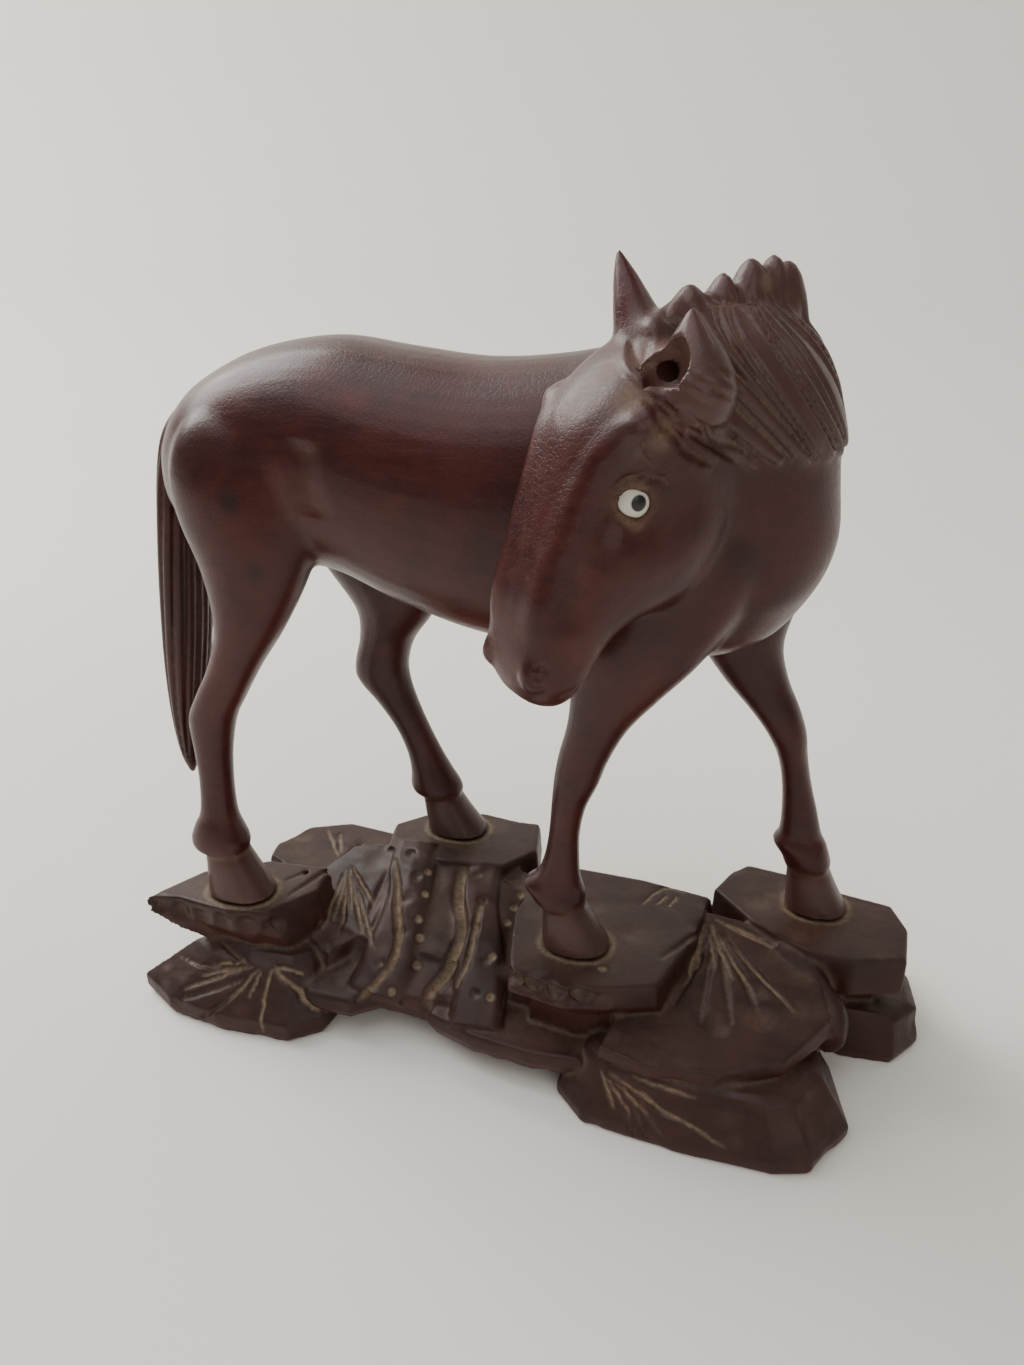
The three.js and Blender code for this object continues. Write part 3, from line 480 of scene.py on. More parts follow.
def groove(points, normals, dust, corners, width, depth, sharp=1.0, ends=6.0):
    path = laid_on(points, smooth_path(corners))
    lo, hi = path.min(0) - width, path.max(0) + width
    near = np.flatnonzero(((points > lo) & (points < hi)).all(1))
    gap, where = along_path(points[near], path)
    shape = np.clip(1 - gap / (width / 2), 0, 1)
    shape = shape * shape * (3 - 2 * shape) if sharp == 0 else shape**sharp
    taper = np.sqrt(np.clip(np.minimum(where, 1 - where) * ends, 0, 1))
    points[near] -= normals[near] * (depth * taper * shape)[:, None]
    if dust is not None:
        dust[near] = np.maximum(dust[near], shape * taper)


def dent(points, normals, centre, radius, depth, dust=None):
    gap = np.linalg.norm(points - np.array(centre), axis=1) / radius
    near = np.flatnonzero(gap < 1)
    shape = (1 - gap[near] ** 2) ** 2
    points[near] -= normals[near] * (depth * shape)[:, None]
    if dust is not None:
        dust[near] = np.maximum(dust[near], np.clip(shape * 2, 0, 1))


def on_head(x, y, z):
    return tuple(HEAD_PLACE @ Vector((x, y, z)))


def head_line(line, side):
    return [on_head(x, y * side, z) for x, y, z in line]


print("paring tools are ready")

# %% Pare the face
RIDGE = [(-1, 10.6, -8), (1.6, 9, -13), (2.4, 7.6, -19), (2.6, 6.4, -27), (2.4, 5.6, -35), (1.8, 5.2, -43)]
VALLEY = [(-3, 12.6, -12), (-1.4, 12, -18), (-1, 10.8, -25), (-1.6, 9.6, -32), (-2.6, 9, -40)]
FACE_EDGE = [(1, 9.6, -14), (0.8, 8.6, -28), (-0.2, 7.8, -42)]
FLANK = [(-34.9, -18.1, 95.9), (-34.3, -18, 89.2), (-33.4, -18, 83)]
face = points_of(horse)
face_normals = normals_of(horse)
for side in (-1, 1):
    groove(face, face_normals, None, head_line(RIDGE, side), 8, -0.9, sharp=0)
    groove(face, face_normals, None, head_line(VALLEY, side), 9, 1.0, sharp=0)
    local = (face - np.array(HEAD_PLACE.translation)) @ np.array(HEAD_PLACE.to_3x3())
    by_eye = (np.hypot(local[:, 0] - EYE.x, local[:, 2] - EYE.z) < 1) & (np.abs(local[:, 1] * side - 11) < 5)
    level = float((local[by_eye, 1] * side).mean())
    dent(face, face_normals, on_head(EYE.x + 0.6, level * side, EYE.z - 0.6), 11, level - EYE.y - EYE_SHOWS)
    print("skin at the eye was", round(level, 2))
groove(face, face_normals, None, [np.array(p) + shift for p in FLANK], 9, 0.8, sharp=0)
put_points(horse, face)
sand(horse, 3)
for side in (-1, 1):
    gap, _ = along_path(points_of(horse), np.array(head_line(FACE_EDGE, side)))
    sand(horse, 18, np.clip(1.5 - gap / 5, 0, 1))
print("face pared")

# %% [markdown]
# ## Ears and eye sockets
# The ear cups and the eye sockets are cut with a spoon gouge. Here they are lofts and balls taken away
# with a Boolean, because a cut leaves the thin rim of the ear as it is.

# %% Cut the cups
def cut_away(piece, bm, name):
    bmesh.ops.scale(bm, vec=(MM,) * 3, verts=bm.verts)
    bmesh.ops.recalc_face_normals(bm, faces=bm.faces)
    tool = new_piece(bm, name)
    cut = piece.modifiers.new("cut", "BOOLEAN")
    cut.operation = "DIFFERENCE"
    cut.solver = "MANIFOLD"
    cut.object = tool
    settled(piece)
    bpy.data.objects.remove(tool)


CUPS = ((EARS[0], 0.62, 0.84, 0.36), (EARS[1], 0.6, 0.8, 0.35))  # size, how far forward, where it starts
EAR_HOLE = {"centre": (-7.4, 6.4, -1.1), "radii": (2.6, 1.5, 1.5)}
SOCKET_ROOM = 0.15  # mm round the eye
for ear, size, forward, start in CUPS:
    cup_bm = bmesh.new()
    loft(cup_bm, ear_ribs(ear, size, forward, start), rings=20, sides=24, place=HEAD_PLACE)
    cut_away(horse, cup_bm, "ear_cup")
hole_bm = bmesh.new()
lump(hole_bm, place=HEAD_PLACE, detail=4, **EAR_HOLE)
cut_away(horse, hole_bm, "ear_hole")
socket_bm = bmesh.new()
for side in (-1, 1):
    lump(socket_bm, (EYE.x, EYE.y * side, EYE.z), (EYE_RADIUS + SOCKET_ROOM,) * 3, HEAD_PLACE, detail=4)
cut_away(horse, socket_bm, "eye_socket")
sand(horse, 2)
print("with cups:", len(horse.data.vertices), "points")

# %% [markdown]
# ## Relief
# Finer cuts are pressed into the skin along its own normals: grooves follow a line like a veiner, and dents
# are rounded like the mark of a spoon gouge. Each cut also marks where dust will lie.

# %% Fine cuts of the head
def round_line(x, y, z, radii, degrees):
    turns = [math.radians(a) for a in degrees]
    return [(x + radii[0] * math.cos(a), y, z + radii[1] * math.sin(a)) for a in turns]


NOSTRIL = round_line(-1.1, 7, -47.3, (1.6, 1.7), range(-150, 151, 30))
EYE_RIM = round_line(EYE.x, 9.6, EYE.z, (2.7, 2.7), range(0, 361, 30))
LIP = [(-6, 7.4, -50.4), (-8.6, 7.7, -48.6), (-10.4, 8, -46.6)]
LID = [(-2.7, 8, -18), (-4.3, 8.4, -16), (-6.6, 9.9, -14.9), (-10, 11.2, -15.4)]
CREASE = [(-2, 11.5, -10.5), (-3.5, 9.9, -12.6), (-6.5, 10.6, -14)]
horse_points = points_of(horse)
horse_normals = normals_of(horse)
horse_dust = np.zeros(len(horse_points))
horse_skin = (horse_points, horse_normals)
for side in (-1, 1):
    groove(*horse_skin, None, head_line(NOSTRIL, side), 1.3, 0.4)
    dent(*horse_skin, on_head(-1.2, 7 * side, -47.5), 1.1, 0.6)
    groove(*horse_skin, None, head_line(LIP, side), 1.4, 0.35)
    groove(*horse_skin, None, head_line(LID, side), 1.8, 0.45)
    groove(*horse_skin, horse_dust, head_line(EYE_RIM, side), 3, -0.3, sharp=0, ends=1000)
    groove(*horse_skin, None, head_line(CREASE, side), 1.6, 0.45)
print("head cut")

# %% [markdown]
# ## Strands of the mane
# The locks fan round the neck, so a strand is a line of equal share between the first lock's angle and the
# last one's. A veiner leaves a sharp valley between two round strands. The valleys wander a little and the
# lower ends are ragged, because hair that is cut by hand is never a comb.

# %% Mane strands
STRANDS = 15
NECK_MIDDLE = (33.5, -6.0)
MANE_RAISED = 0.45  # mm above the neck
VALLEY_DEPTH = 0.7
neck_local = horse_points - shift
reach = neck_local[:, :2] - np.array(NECK_MIDDLE)
compass = np.degrees(np.arctan2(reach[:, 1], reach[:, 0]))
fall = np.clip((LOCK_TOP + 2 - neck_local[:, 2]) / (LOCK_TOP - LOCK_END), 0, 1.3)
share = (compass - LOCK_ANGLES[0] - LOCK_SWEEP[0] * fall) / (
    LOCK_ANGLES[1] - LOCK_ANGLES[0] + (LOCK_SWEEP[1] - LOCK_SWEEP[0]) * fall)
wander = 0.32 * np.sin(share * 23 + 1.3) + 0.22 * np.sin(share * 41 + fall * 2.2)
strand = STRANDS * share + wander
tip = np.abs(np.mod(strand, 1) - 0.5) * 2
tuft = 0.5 + 0.5 * np.sin(np.floor(strand) * 2.4)
lowest = LOCK_END - 0.6 + 1.6 * tip + 1.3 * tuft
inside = np.minimum(share + 0.02 + 0.5 * np.clip(fall - 0.64, 0, 1), 1.05 - share) * 40
inside = np.minimum(inside, (neck_local[:, 2] - lowest) / 0.5)
inside = np.minimum(inside, (30 - np.linalg.norm(reach, axis=1)) / 2)
inside = np.clip(np.minimum(inside, (neck_local[:, 0] - 19) / 2), 0, 1)
strength = inside * np.clip((120.5 - neck_local[:, 2]) / 6, 0, 1)
for ear in EARS:
    base, tip = (np.array(HEAD_FRAME @ Vector(ear[end])) for end in ("root", "tip"))
    gap, _ = along_path(neck_local, np.array([base, tip]))
    strength *= np.clip((gap - ear["deep"] + 0.4) / 1.2, 0, 1)
round_strand = np.abs(np.sin(math.pi * strand))
depth = VALLEY_DEPTH + 0.35 * tuft
horse_points += horse_normals * (strength * (MANE_RAISED - depth * (1 - round_strand) ** 1.5))[:, None]
horse_dust = np.maximum(horse_dust, (1 - round_strand) ** 4 * strength * 0.45)
print("mane points:", int((inside > 0).sum()))

# %% Forelock
FORELOCK = [
    [(25.6, -32, 106), (28.1, -31, 103.4), (30.8, -28.1, 99.9), (32.6, -26.2, 98.5)],
    [(24.3, -30, 107.9), (27.6, -31.1, 104.8), (30.7, -28.4, 101.2), (34, -24.3, 97.8)],
    [(24.5, -26.3, 108.3), (29.4, -30.5, 105.1), (33.5, -24.9, 100.7), (37.9, -19.9, 97.2)],
    [(28.7, -30.7, 107), (32.2, -29.5, 104.1), (36.4, -20.7, 99.7)],
]
forelock = [[np.array(p) + shift for p in strokes] for strokes in FORELOCK]
groove(*horse_skin, None, forelock[1], 7, -0.5, sharp=0)
for strokes in forelock:
    groove(*horse_skin, None, strokes, 1.7, 0.75, sharp=0.8, ends=3)
print("forelock strokes:", len(forelock))

# %% [markdown]
# ## Strands of the tail
# The tail is cut with long lines that twist slightly round it. The angle round its middle line gives them,
# so they follow every bend, and they fade out at the root and the tip.

# %% Tail strands
TAIL_STRANDS = 7
TAIL_DEPTH = 0.7
tail_local = horse_points - shift
in_tail = (tail_local[:, 0] < -66) & (tail_local[:, 2] < 92)
tail_mid = np.interp(tail_local[:, 2], [r[1] for r in reversed(TAIL)], [r[0] for r in reversed(TAIL)])
turn = np.arctan2(tail_local[:, 1] - 1, -(tail_local[:, 0] - tail_mid))
in_tail &= np.hypot(tail_local[:, 1] - 1, tail_local[:, 0] - tail_mid) < 8.5
wave = turn * TAIL_STRANDS + tail_local[:, 2] * 0.05
cut = (1 - np.abs(np.sin(wave))) ** 1.4 * in_tail
cut *= np.clip((92 - tail_local[:, 2]) / 8, 0, 1) * np.clip((tail_local[:, 2] - 16) / 6, 0, 1)
horse_points -= horse_normals * (TAIL_DEPTH * cut)[:, None]
put_points(horse, horse_points)
print("tail cut:", int((cut > 0.1).sum()), "points")

# %% [markdown]
# ## Dust, wear, rubbed colour and painted light
# Dust gathers where the hooves meet the rock, in the cuts and round the poll. Hands have rubbed the mane,
# the hooves and some of the flank, where the lacquer turns grey or shows warmer wood. The grey on the crest
# tops and by the poll is also a painted sheen, and a painted shadow darkens the throat hollow. We give each
# kind of place a mark on the skin, and the finish reads it.

# %% Dust, worn and grey places, painted sheen and painted shade
SOLE_LINE, CORONET = 0.3, 9.7  # heights above the soles
body_points = horse_points - shift
sole_line = np.clip(1 - np.abs(body_points[:, 2] - SOLE_LINE) / 0.9, 0, 1)
coronet = np.clip(1 - np.abs(body_points[:, 2] - CORONET) / 0.9, 0, 1) * 0.5
horse_dust = np.maximum(horse_dust, np.maximum(sole_line, coronet))
POLL_WAX = [
    ((18.6, -25.9, 110), 2.2), ((22.5, -30, 107.2), 2.6), ((27.5, -31.6, 103.2), 2.2), ((37, -7, 121), 1.4),
]
horse_dust = np.maximum(horse_dust, nearness(body_points, POLL_WAX) * 0.9)
horse_dust = np.maximum(horse_dust, nearness(body_points, [((22.3, -30, 94.2), 3)]) * 0.5)
# The spots on the crest and by the poll are a painted sheen: a lighter grey where light falls on the tops. The
# hooves below 11 mm and the whole mane get the same grey as a flat tone.
GREY_AND_SHEEN_SPOTS = [((36, -5, 124), 7), ((30, -12, 120), 4), ((36, -12, 113), 6), ((24, -30, 103), 4)]
greyed = np.maximum(nearness(body_points, GREY_AND_SHEEN_SPOTS), np.clip((11 - body_points[:, 2]) / 4, 0, 1) * 0.8)
greyed = np.maximum(greyed, inside * 0.8)
REDDENED = [
    ((-33, -12, 105), 4), ((-27, -15, 102), 3.5), ((-22, -17, 98), 2.5), ((26.5, -24, 112), 4.5),
    ((-8, -18, 62), 9),
]
REDDENED_FACE = [((-2.5, 9, -31), 1.6), ((-3.2, 8.8, -36), 1.8), ((-5.5, 8.4, -42), 3.4), ((-10, 8, -45), 3)]
REDDENED += [(tuple(HEAD_FRAME @ Vector(p)), r) for p, r in REDDENED_FACE]
# The last spot is a painted shadow in the throat hollow between cheek and neck. The other two are small dark spots
# on the near thigh.
DARK_SPOTS_AND_SHADE = [((-48, -20.6, 85), 2.2), ((-44.5, -21, 72.5), 1.8), ((37.3, -15.4, 82.2), 3.6)]
reddened = nearness(body_points, REDDENED)
darkened = nearness(body_points, DARK_SPOTS_AND_SHADE)
print("greyed points:", int((greyed > 0.5).sum()))

# %% [markdown]
# ## Thin out and mark
# The skin has more faces than it needs on flat places. A collapse keeps them where the relief is. Then each
# point is marked with how deep it lies in a hollow or how proud on an edge: the finishes read these marks.

# %% Thin the skin and store its marks
MOST_FACES = 190000


def keep_mark(piece, name, values):
    kept = piece.data.attributes.new(name, "FLOAT", "POINT")
    kept.data.foreach_set("value", values.astype(np.float32))


def round_shaded(piece):
    for p in piece.data.polygons:
        p.use_smooth = True


def thin_out(piece, most):
    faces = sum(len(p.vertices) - 2 for p in piece.data.polygons)
    if faces > most:
        thin = piece.modifiers.new("thin", "DECIMATE")
        thin.ratio = most / faces
        settled(piece)
    return len(piece.data.polygons)


def hollows(piece, passes):
    points, normals = points_of(piece), normals_of(piece)
    ends = np.empty(len(piece.data.edges) * 2, np.int32)
    piece.data.edges.foreach_get("vertices", ends)
    a, b = ends.reshape(-1, 2).T
    count = np.bincount(a, minlength=len(points)) + np.bincount(b, minlength=len(points))
    smooth = points.copy()
    for _ in range(passes):
        total = np.stack([np.bincount(a, smooth[b, k], len(points)) + np.bincount(b, smooth[a, k], len(points))
                          for k in range(3)], 1)
        smooth += 0.6 * (total / np.maximum(count, 1)[:, None] - smooth)
    return ((smooth - points) * normals).sum(1)


def mark_skin(piece, **marks):
    for name, values in marks.items():
        keep_mark(piece, name, values)
    faces = thin_out(piece, MOST_FACES)
    round_shaded(piece)
    keep_mark(piece, "fine_hollow", hollows(piece, 6))
    keep_mark(piece, "broad_hollow", hollows(piece, 50))
    return faces


print("horse faces:", mark_skin(horse, dust=horse_dust, greyed=greyed, reddened=reddened, darkened=darkened))
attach(horse, "root")
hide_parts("horse")

# %% [markdown]
# ## Eyes
# The eyes are small balls of pale inlay with a painted pupil. A ball from the bmesh tool is enough, with an
# attribute that says how near a point is to the middle of the gaze.

# %% Make the eyes
GAZE = Vector((0.25, 1.0, 0.06))
for side, name in ((1, "left_eye"), (-1, "right_eye")):
    eye_bm = bmesh.new()
    middle = HEAD_PLACE @ Vector((EYE.x, EYE.y * side, EYE.z))
    gaze = (HEAD_PLACE.to_3x3() @ Vector((GAZE.x, GAZE.y * side, GAZE.z))).normalized()
    ball = bmesh.ops.create_uvsphere(eye_bm, u_segments=48, v_segments=32, radius=EYE_RADIUS)["verts"]
    for v in ball:
        v.co += middle
    bmesh.ops.scale(eye_bm, vec=(MM,) * 3, verts=eye_bm.verts)
    eye = new_piece(eye_bm, name + "_inlay")
    keep_mark(eye, "gaze", (points_of(eye) - np.array(middle)) @ np.array(gaze) / EYE_RADIUS)
    round_shaded(eye)
    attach(eye, "root")
    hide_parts(name)
    print(eye.name, "at", tuple(round(v, 1) for v in middle))

# %% [markdown]
# ## The rock stand
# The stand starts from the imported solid, copied and merged. The same skin and a light sanding soften its
# corners as lacquer does, and then the real gouge work goes in.

# %% Block of the stand
# The middle slopes down to the viewer, so a hull of its corners fills the steps there, and a tongue of rock
# hangs down by the far front hoof.
STAND_VOXEL = 0.36  # mm
SLOPE = [
    (-34, 3, 21), (-24, 9, 24), (-14, 9, 24), (-3, 7, 21.6), (-36, -8, 16.5), (-22, -8.5, 18.8),
    (-3, -12, 16.8), (-31, -20, 9.5), (-20, -21, 11), (0, -20, 12.6), (2, -4, 16), (-34, 5, 6),
    (2, 5, 6), (-31, -20.5, 6), (0, -22, 6),
]
TONGUE = [
    ((52, 3, 24), (52, 3, 17), 2.4), ((58, -0.5, 23.4), (58, -1, 14), 3.2),
    ((63.4, -6, 19.4), (63, -5, 11), 3.2), ((64.6, -11, 15.6), (63, -9, 9), 2.4),
]
stand_bm = bmesh.new()
stand_bm.from_mesh(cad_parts["rock_stand"].data)
bmesh.ops.remove_doubles(stand_bm, verts=stand_bm.verts, dist=1e-6)
bmesh.ops.scale(stand_bm, vec=(1 / MM,) * 3, verts=stand_bm.verts)
slope = [stand_bm.verts.new(p) for p in SLOPE]
hull = bmesh.ops.convex_hull(stand_bm, input=slope)
inner = [v for v in hull["geom_interior"] if isinstance(v, bmesh.types.BMVert)]
bmesh.ops.delete(stand_bm, geom=inner, context="VERTS")
loft(stand_bm, [(Vector(a), Vector(b), half) for a, b, half in TONGUE], rings=24, sides=20)
print("stand before its skin:", len(stand_bm.verts), "points")

# %% Skin of the stand
WEATHERED = [((-20, -8, 18), 16), ((-4, -8, 16), 12), ((-38, -6, 16), 9)]
TOP_KEPT = 24.6  # mm, the flat tops that carry the hooves stay crisp
stand = one_skin(stand_bm, "carved_rocks", STAND_VOXEL)
stand_points = points_of(stand)
below_top = np.clip((TOP_KEPT - stand_points[:, 2]) / 0.6, 0, 1)
sand(stand, 4)
sand(stand, 26, nearness(stand_points, WEATHERED) * below_top)
print("stand:", len(stand.data.vertices), "points")

# %% [markdown]
# ## Carving the rocks
# The rock face is drawn with a veiner: fans of short strokes under the ledges, two ribs with rows of round
# dots and a channel at each side, and a row of scallops along each near lip. All are given as places on the
# solid, in millimetres, and each stroke is laid on the skin before it is cut.

# %% The drawing of the rock face
# Fans: where the strokes start and where each ends. Channels: a line, its width and depth. Scallops: a place,
# its radius and depth.
FANS = [
    ((-49.4, -22.4, 13.2), [(-66.7, -28.1, 6.3), (-63.3, -25.9, 9), (-62.1, -23.6, 10.5), (-55.7, -28.8, 6),
                            (-51.1, -27.8, 7.6)]),
    ((-43.1, 5.3, 21.5), [(-41.6, -12.3, 15.7), (-39.6, -10.4, 16.9), (-37.4, -11.1, 16.9), (-37.1, -6.8, 18),
                          (-31.9, -12.3, 17), (-27.7, -15.6, 16.4), (-32.7, -4.4, 18.4), (-34.1, -3.2, 19.6)]),
    ((37.4, 6.4, 24.1), [(36.2, -10.4, 19.5), (37.2, -6.2, 20.5), (40.8, -5.6, 20.9), (44.3, -7.5, 20.5),
                         (49, -9.9, 19.8), (56.3, -11.4, 19.4), (49.6, 3.1, 23.2), (50.9, 1.9, 22.9)]),
    ((23, -26.5, 10.7), [(26.9, -30.9, 4.9), (30.1, -31, 4.6), (33.1, -30.6, 5.3), (38.3, -31.1, 6.2),
                         (48.1, -32.3, 3.7), (41.6, -28.9, 10.4)]),
    ((-47, 8.5, 19.4), [(-46.9, 16.9, 17.6), (-45.8, 19.1, 17.2), (-52.9, 20.2, 18), (-56.6, 20.2, 18.4)]),
]
CHANNELS = [
    ([(-31.6, 5.9, 24), (-26.7, -4.9, 21.5), (-22.9, -14.1, 17), (-24.5, -20.1, 13.6), (-28.2, -23.9, 9.3)],
     2.6, 1.1),
    ([(-16.5, 8, 24), (-14.9, 1.5, 22), (-11.5, -6.3, 20), (-11, -11.1, 18), (-12, -15.5, 14),
      (-14.1, -19.2, 9.1)], 3.4, 1.6),
    ([(-12, 3, 20.6), (-8.6, -4, 18.8), (-7.6, -11, 17), (-7.4, -18, 13)], 1.8, 0.8),
    ([(3.4, 5, 20), (2.8, -4, 18), (2.6, -12, 16.6), (3, -20, 13)], 2.2, 0.9),
    ([(24.1, 4.7, 25), (25.9, 9.6, 25), (28.3, 12.2, 25), (32.4, 11.6, 25)], 0.9, 0.35),
    ([(26.7, 5.5, 25), (28.7, 9.7, 25)], 0.8, 0.3),
    ([(29.4, 5.7, 25), (30.7, 10, 25)], 0.8, 0.3),
    ([(-47.8, -22.8, 12.9), (-47.5, -27.8, 7.4), (-47, -29.9, 1)], 1.4, 0.4),
    ([(-47.8, -22.8, 12.9), (-36.3, -24.5, 5.5)], 1.6, 0.5),
    ([(-47.8, -22.8, 12.9), (-40.8, -21.8, 11.6)], 1.4, 0.5),
]
DOTS = [
    (-23.2, 3.3, 24), (-21.6, -1.9, 22.2), (-21, -7.7, 20), (-19.3, -10.9, 18), (-18.4, -15.6, 14.9),
    (-21.3, -21.4, 12.2), (-2.5, 5.4, 21.1), (-2.8, 2, 20), (-3.3, -2, 18.7), (-3, -12.2, 18),
    (-1.1, -19.4, 14.4), (20.6, -16.9, 25), (12, -6, 25),
]
SCALLOPS = [
    ((-73.3, -23.1, 23), 3, 1), ((-68.9, -22.2, 21.4), 3.2, 1.2), ((-63.9, -22.2, 21.1), 3.2, 1.2),
    ((-58.3, -22.5, 21.3), 3.2, 1.2), ((-53.2, -22, 21.5), 3.2, 1.2), ((-48, -20.4, 21), 3.2, 1.2),
    ((7.6, -22.9, 22.6), 3, 1.3), ((12.1, -23.9, 23), 3, 1.3), ((17.1, -23.7, 23), 3, 1.3),
    ((21.4, -22, 22.4), 3, 1.1),
]
print("strokes:", sum(len(ends) for _, ends in FANS), "channels:", len(CHANNELS), "dots:", len(DOTS))

# %% Cut the drawing
stand_points, stand_normals = points_of(stand), normals_of(stand)
stand_dust = np.zeros(len(stand_points))
for apex, ends in FANS:
    for i, end in enumerate(ends):
        near = np.array(apex) + (np.array(end) - np.array(apex)) * (0.12 + 0.1 * (i % 3))
        mid = (near + np.array(end)) / 2
        groove(stand_points, stand_normals, stand_dust, [near, mid, end], 1.25, 0.5, ends=2)
for corners, width, depth in CHANNELS:
    groove(stand_points, stand_normals, stand_dust, corners, width, depth, sharp=0.9)
for spot in laid_on(stand_points, DOTS):
    dent(stand_points, stand_normals, spot, 1.2, 0.5, stand_dust)
for spot, radius, depth in SCALLOPS:
    dent(stand_points, stand_normals, spot, radius, depth)
print("carved:", int((stand_dust > 0.3).sum()), "points")

# %% [markdown]
# ## Gouge marks and glue
# Between the drawn cuts a carver leaves many shallow facets. We press them at seeded places, so that they fall
# in the same spots each time. Round each hoof a thin line of glue and dust stands proud of the rock.

# %% Gouge marks and glue rings
GOUGE_MARKS = 420
HOOF_TOPS = 24.9  # mm, fewer marks on the flat tops
SQUARE_HOOF = 2.3  # the hooves' power, between a circle and a square
chance = np.random.default_rng(8)
for i in chance.choice(len(stand_points), GOUGE_MARKS, replace=False):
    if stand_points[i, 2] < HOOF_TOPS or chance.random() < 0.3:
        radius, depth = chance.uniform(2.2, 4.6), chance.uniform(0.12, 0.32)
        dent(stand_points, stand_normals, stand_points[i].copy(), radius, depth)
for (sole, *_), _ in LEGS.values():
    _, back, front, y, half = sole
    across = (stand_points[:, 1] - shift[1] - y) / half
    along = (stand_points[:, 0] - shift[0] - (back + front) / 2) / ((front - back) / 2)
    round_hoof = (np.abs(across) ** SQUARE_HOOF + np.abs(along) ** SQUARE_HOOF) ** (1 / SQUARE_HOOF)
    ring = np.clip(1 - np.abs(round_hoof - 1.06) / 0.13, 0, 1) * (stand_points[:, 2] > 24)
    stand_dust = np.maximum(stand_dust, ring)
    stand_points += stand_normals * (0.12 * ring)[:, None]
undercut = np.clip(-stand_normals[:, 2] * 1.6 + 0.5, 0, 1) * np.clip((24 - stand_points[:, 2]) / 6, 0, 1)
print("glue rings:", len(LEGS))

# %% Mark and finish the stand
put_points(stand, stand_points)
print("stand faces:", mark_skin(stand, dust=stand_dust, reddened=undercut))
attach(stand, "root")
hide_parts("rock_stand")

# %% [markdown]
# ## Finishes
# Both woods are the same kind under a thin lacquer. What they share is made once, as node groups: the wood's
# colour with its long fibres, and the dust that settles in hollows. Each finish then has its own values.

# %% Node helpers
def new_group(name, inputs, outputs):
    tree = bpy.data.node_groups.new(name, "ShaderNodeTree")
    for label, value in inputs.items():
        kind = "NodeSocketColor" if isinstance(value, tuple) else "NodeSocketFloat"
        tree.interface.new_socket(name=label, in_out="INPUT", socket_type=kind).default_value = value
    for label, kind in outputs.items():
        tree.interface.new_socket(name=label, in_out="OUTPUT", socket_type=kind)
    return tree, tree.nodes.new("NodeGroupInput"), tree.nodes.new("NodeGroupOutput")


def node(tree, kind, values=None, **links):
    made = tree.nodes.new("ShaderNode" + kind)
    for key, value in (values or {}).items():
        if key in made.inputs:
            made.inputs[key].default_value = value
        else:
            setattr(made, key, value)
    for key, source in links.items():
        tree.links.new(source, made.inputs[key.replace("_", " ")])
    return made


def ramp(tree, source, stops):
    made = tree.nodes.new("ShaderNodeValToRGB")
    while len(made.color_ramp.elements) < len(stops):
        made.color_ramp.elements.new(0.5)
    for element, (place, colour) in zip(made.color_ramp.elements, stops):
        element.position = place
        element.color = (*colour, 1)
    tree.links.new(source, made.inputs[0])
    return made.outputs[0]


def grey(value):
    return (value, value, value)


def feed(tree, socket, value):
    if isinstance(value, bpy.types.NodeSocket):
        tree.links.new(value, socket)
    else:
        socket.default_value = value


def mixed(tree, factor, a, b):
    made = tree.nodes.new("ShaderNodeMix")
    made.data_type = "RGBA"
    for index, value in ((0, factor), (6, a), (7, b)):
        feed(tree, made.inputs[index], value)
    return made.outputs[2]


def maths(tree, operation, a, b, clamp):
    made = tree.nodes.new("ShaderNodeMath")
    made.operation = operation
    made.use_clamp = clamp
    feed(tree, made.inputs[0], a)
    feed(tree, made.inputs[1], b)
    return made.outputs[0]


def times(tree, a, b, clamp=False):
    return maths(tree, "MULTIPLY", a, b, clamp)


def plus(tree, a, b, clamp=False):
    return maths(tree, "ADD", a, b, clamp)


def mark(tree, name):
    return node(tree, "Attribute", {"attribute_name": name}).outputs["Fac"]


print("node helpers are ready")

# %% [markdown]
# ## Wood colour
# Three browns are mixed by a tone that joins long fibres, broad clouds and a fine mottle. The fibres run along
# the horse, so the noise is stretched that way in the piece's own coordinates.

# %% Wood colour group
wood, wood_in, wood_out = new_group(
    "wood_colour",
    {"Dark": (0.02, 0.006, 0.005, 1), "Middle": (0.07, 0.02, 0.016, 1), "Light": (0.13, 0.04, 0.03, 1)},
    {"Color": "NodeSocketColor", "Fibre": "NodeSocketFloat"},
)
place = node(wood, "TexCoord").outputs["Object"]
stretch = node(wood, "Mapping", {"Scale": (90, 700, 700)}, Vector=place).outputs[0]
fibre = node(wood, "TexNoise", {"Scale": 1.0, "Detail": 4.0, "Roughness": 0.6}, Vector=stretch).outputs[0]
cloud = node(wood, "TexNoise", {"Scale": 38.0, "Detail": 3.0, "Roughness": 0.55}, Vector=place).outputs[0]
mottle = node(wood, "TexNoise", {"Scale": 160.0, "Detail": 4.0, "Roughness": 0.6}, Vector=place).outputs[0]
tone = plus(wood, times(wood, fibre, 0.2), plus(wood, times(wood, cloud, 0.45), times(wood, mottle, 0.35)))
low = ramp(wood, tone, [(0.34, grey(0)), (0.52, grey(1))])
high = ramp(wood, tone, [(0.48, grey(0)), (0.7, grey(1))])
colour = mixed(wood, low, wood_in.outputs["Dark"], wood_in.outputs["Middle"])
colour = mixed(wood, high, colour, wood_in.outputs["Light"])
wood.links.new(colour, wood_out.inputs["Color"])
wood.links.new(fibre, wood_out.inputs["Fibre"])
print("wood group:", len(wood.nodes), "nodes")

# %% [markdown]
# ## Settled dust
# Dust lies where the marks say that a cut is or that the skin is hollow, and a little of it lies on what faces
# up. A fine speckle breaks it up, because dust that is even looks like paint.

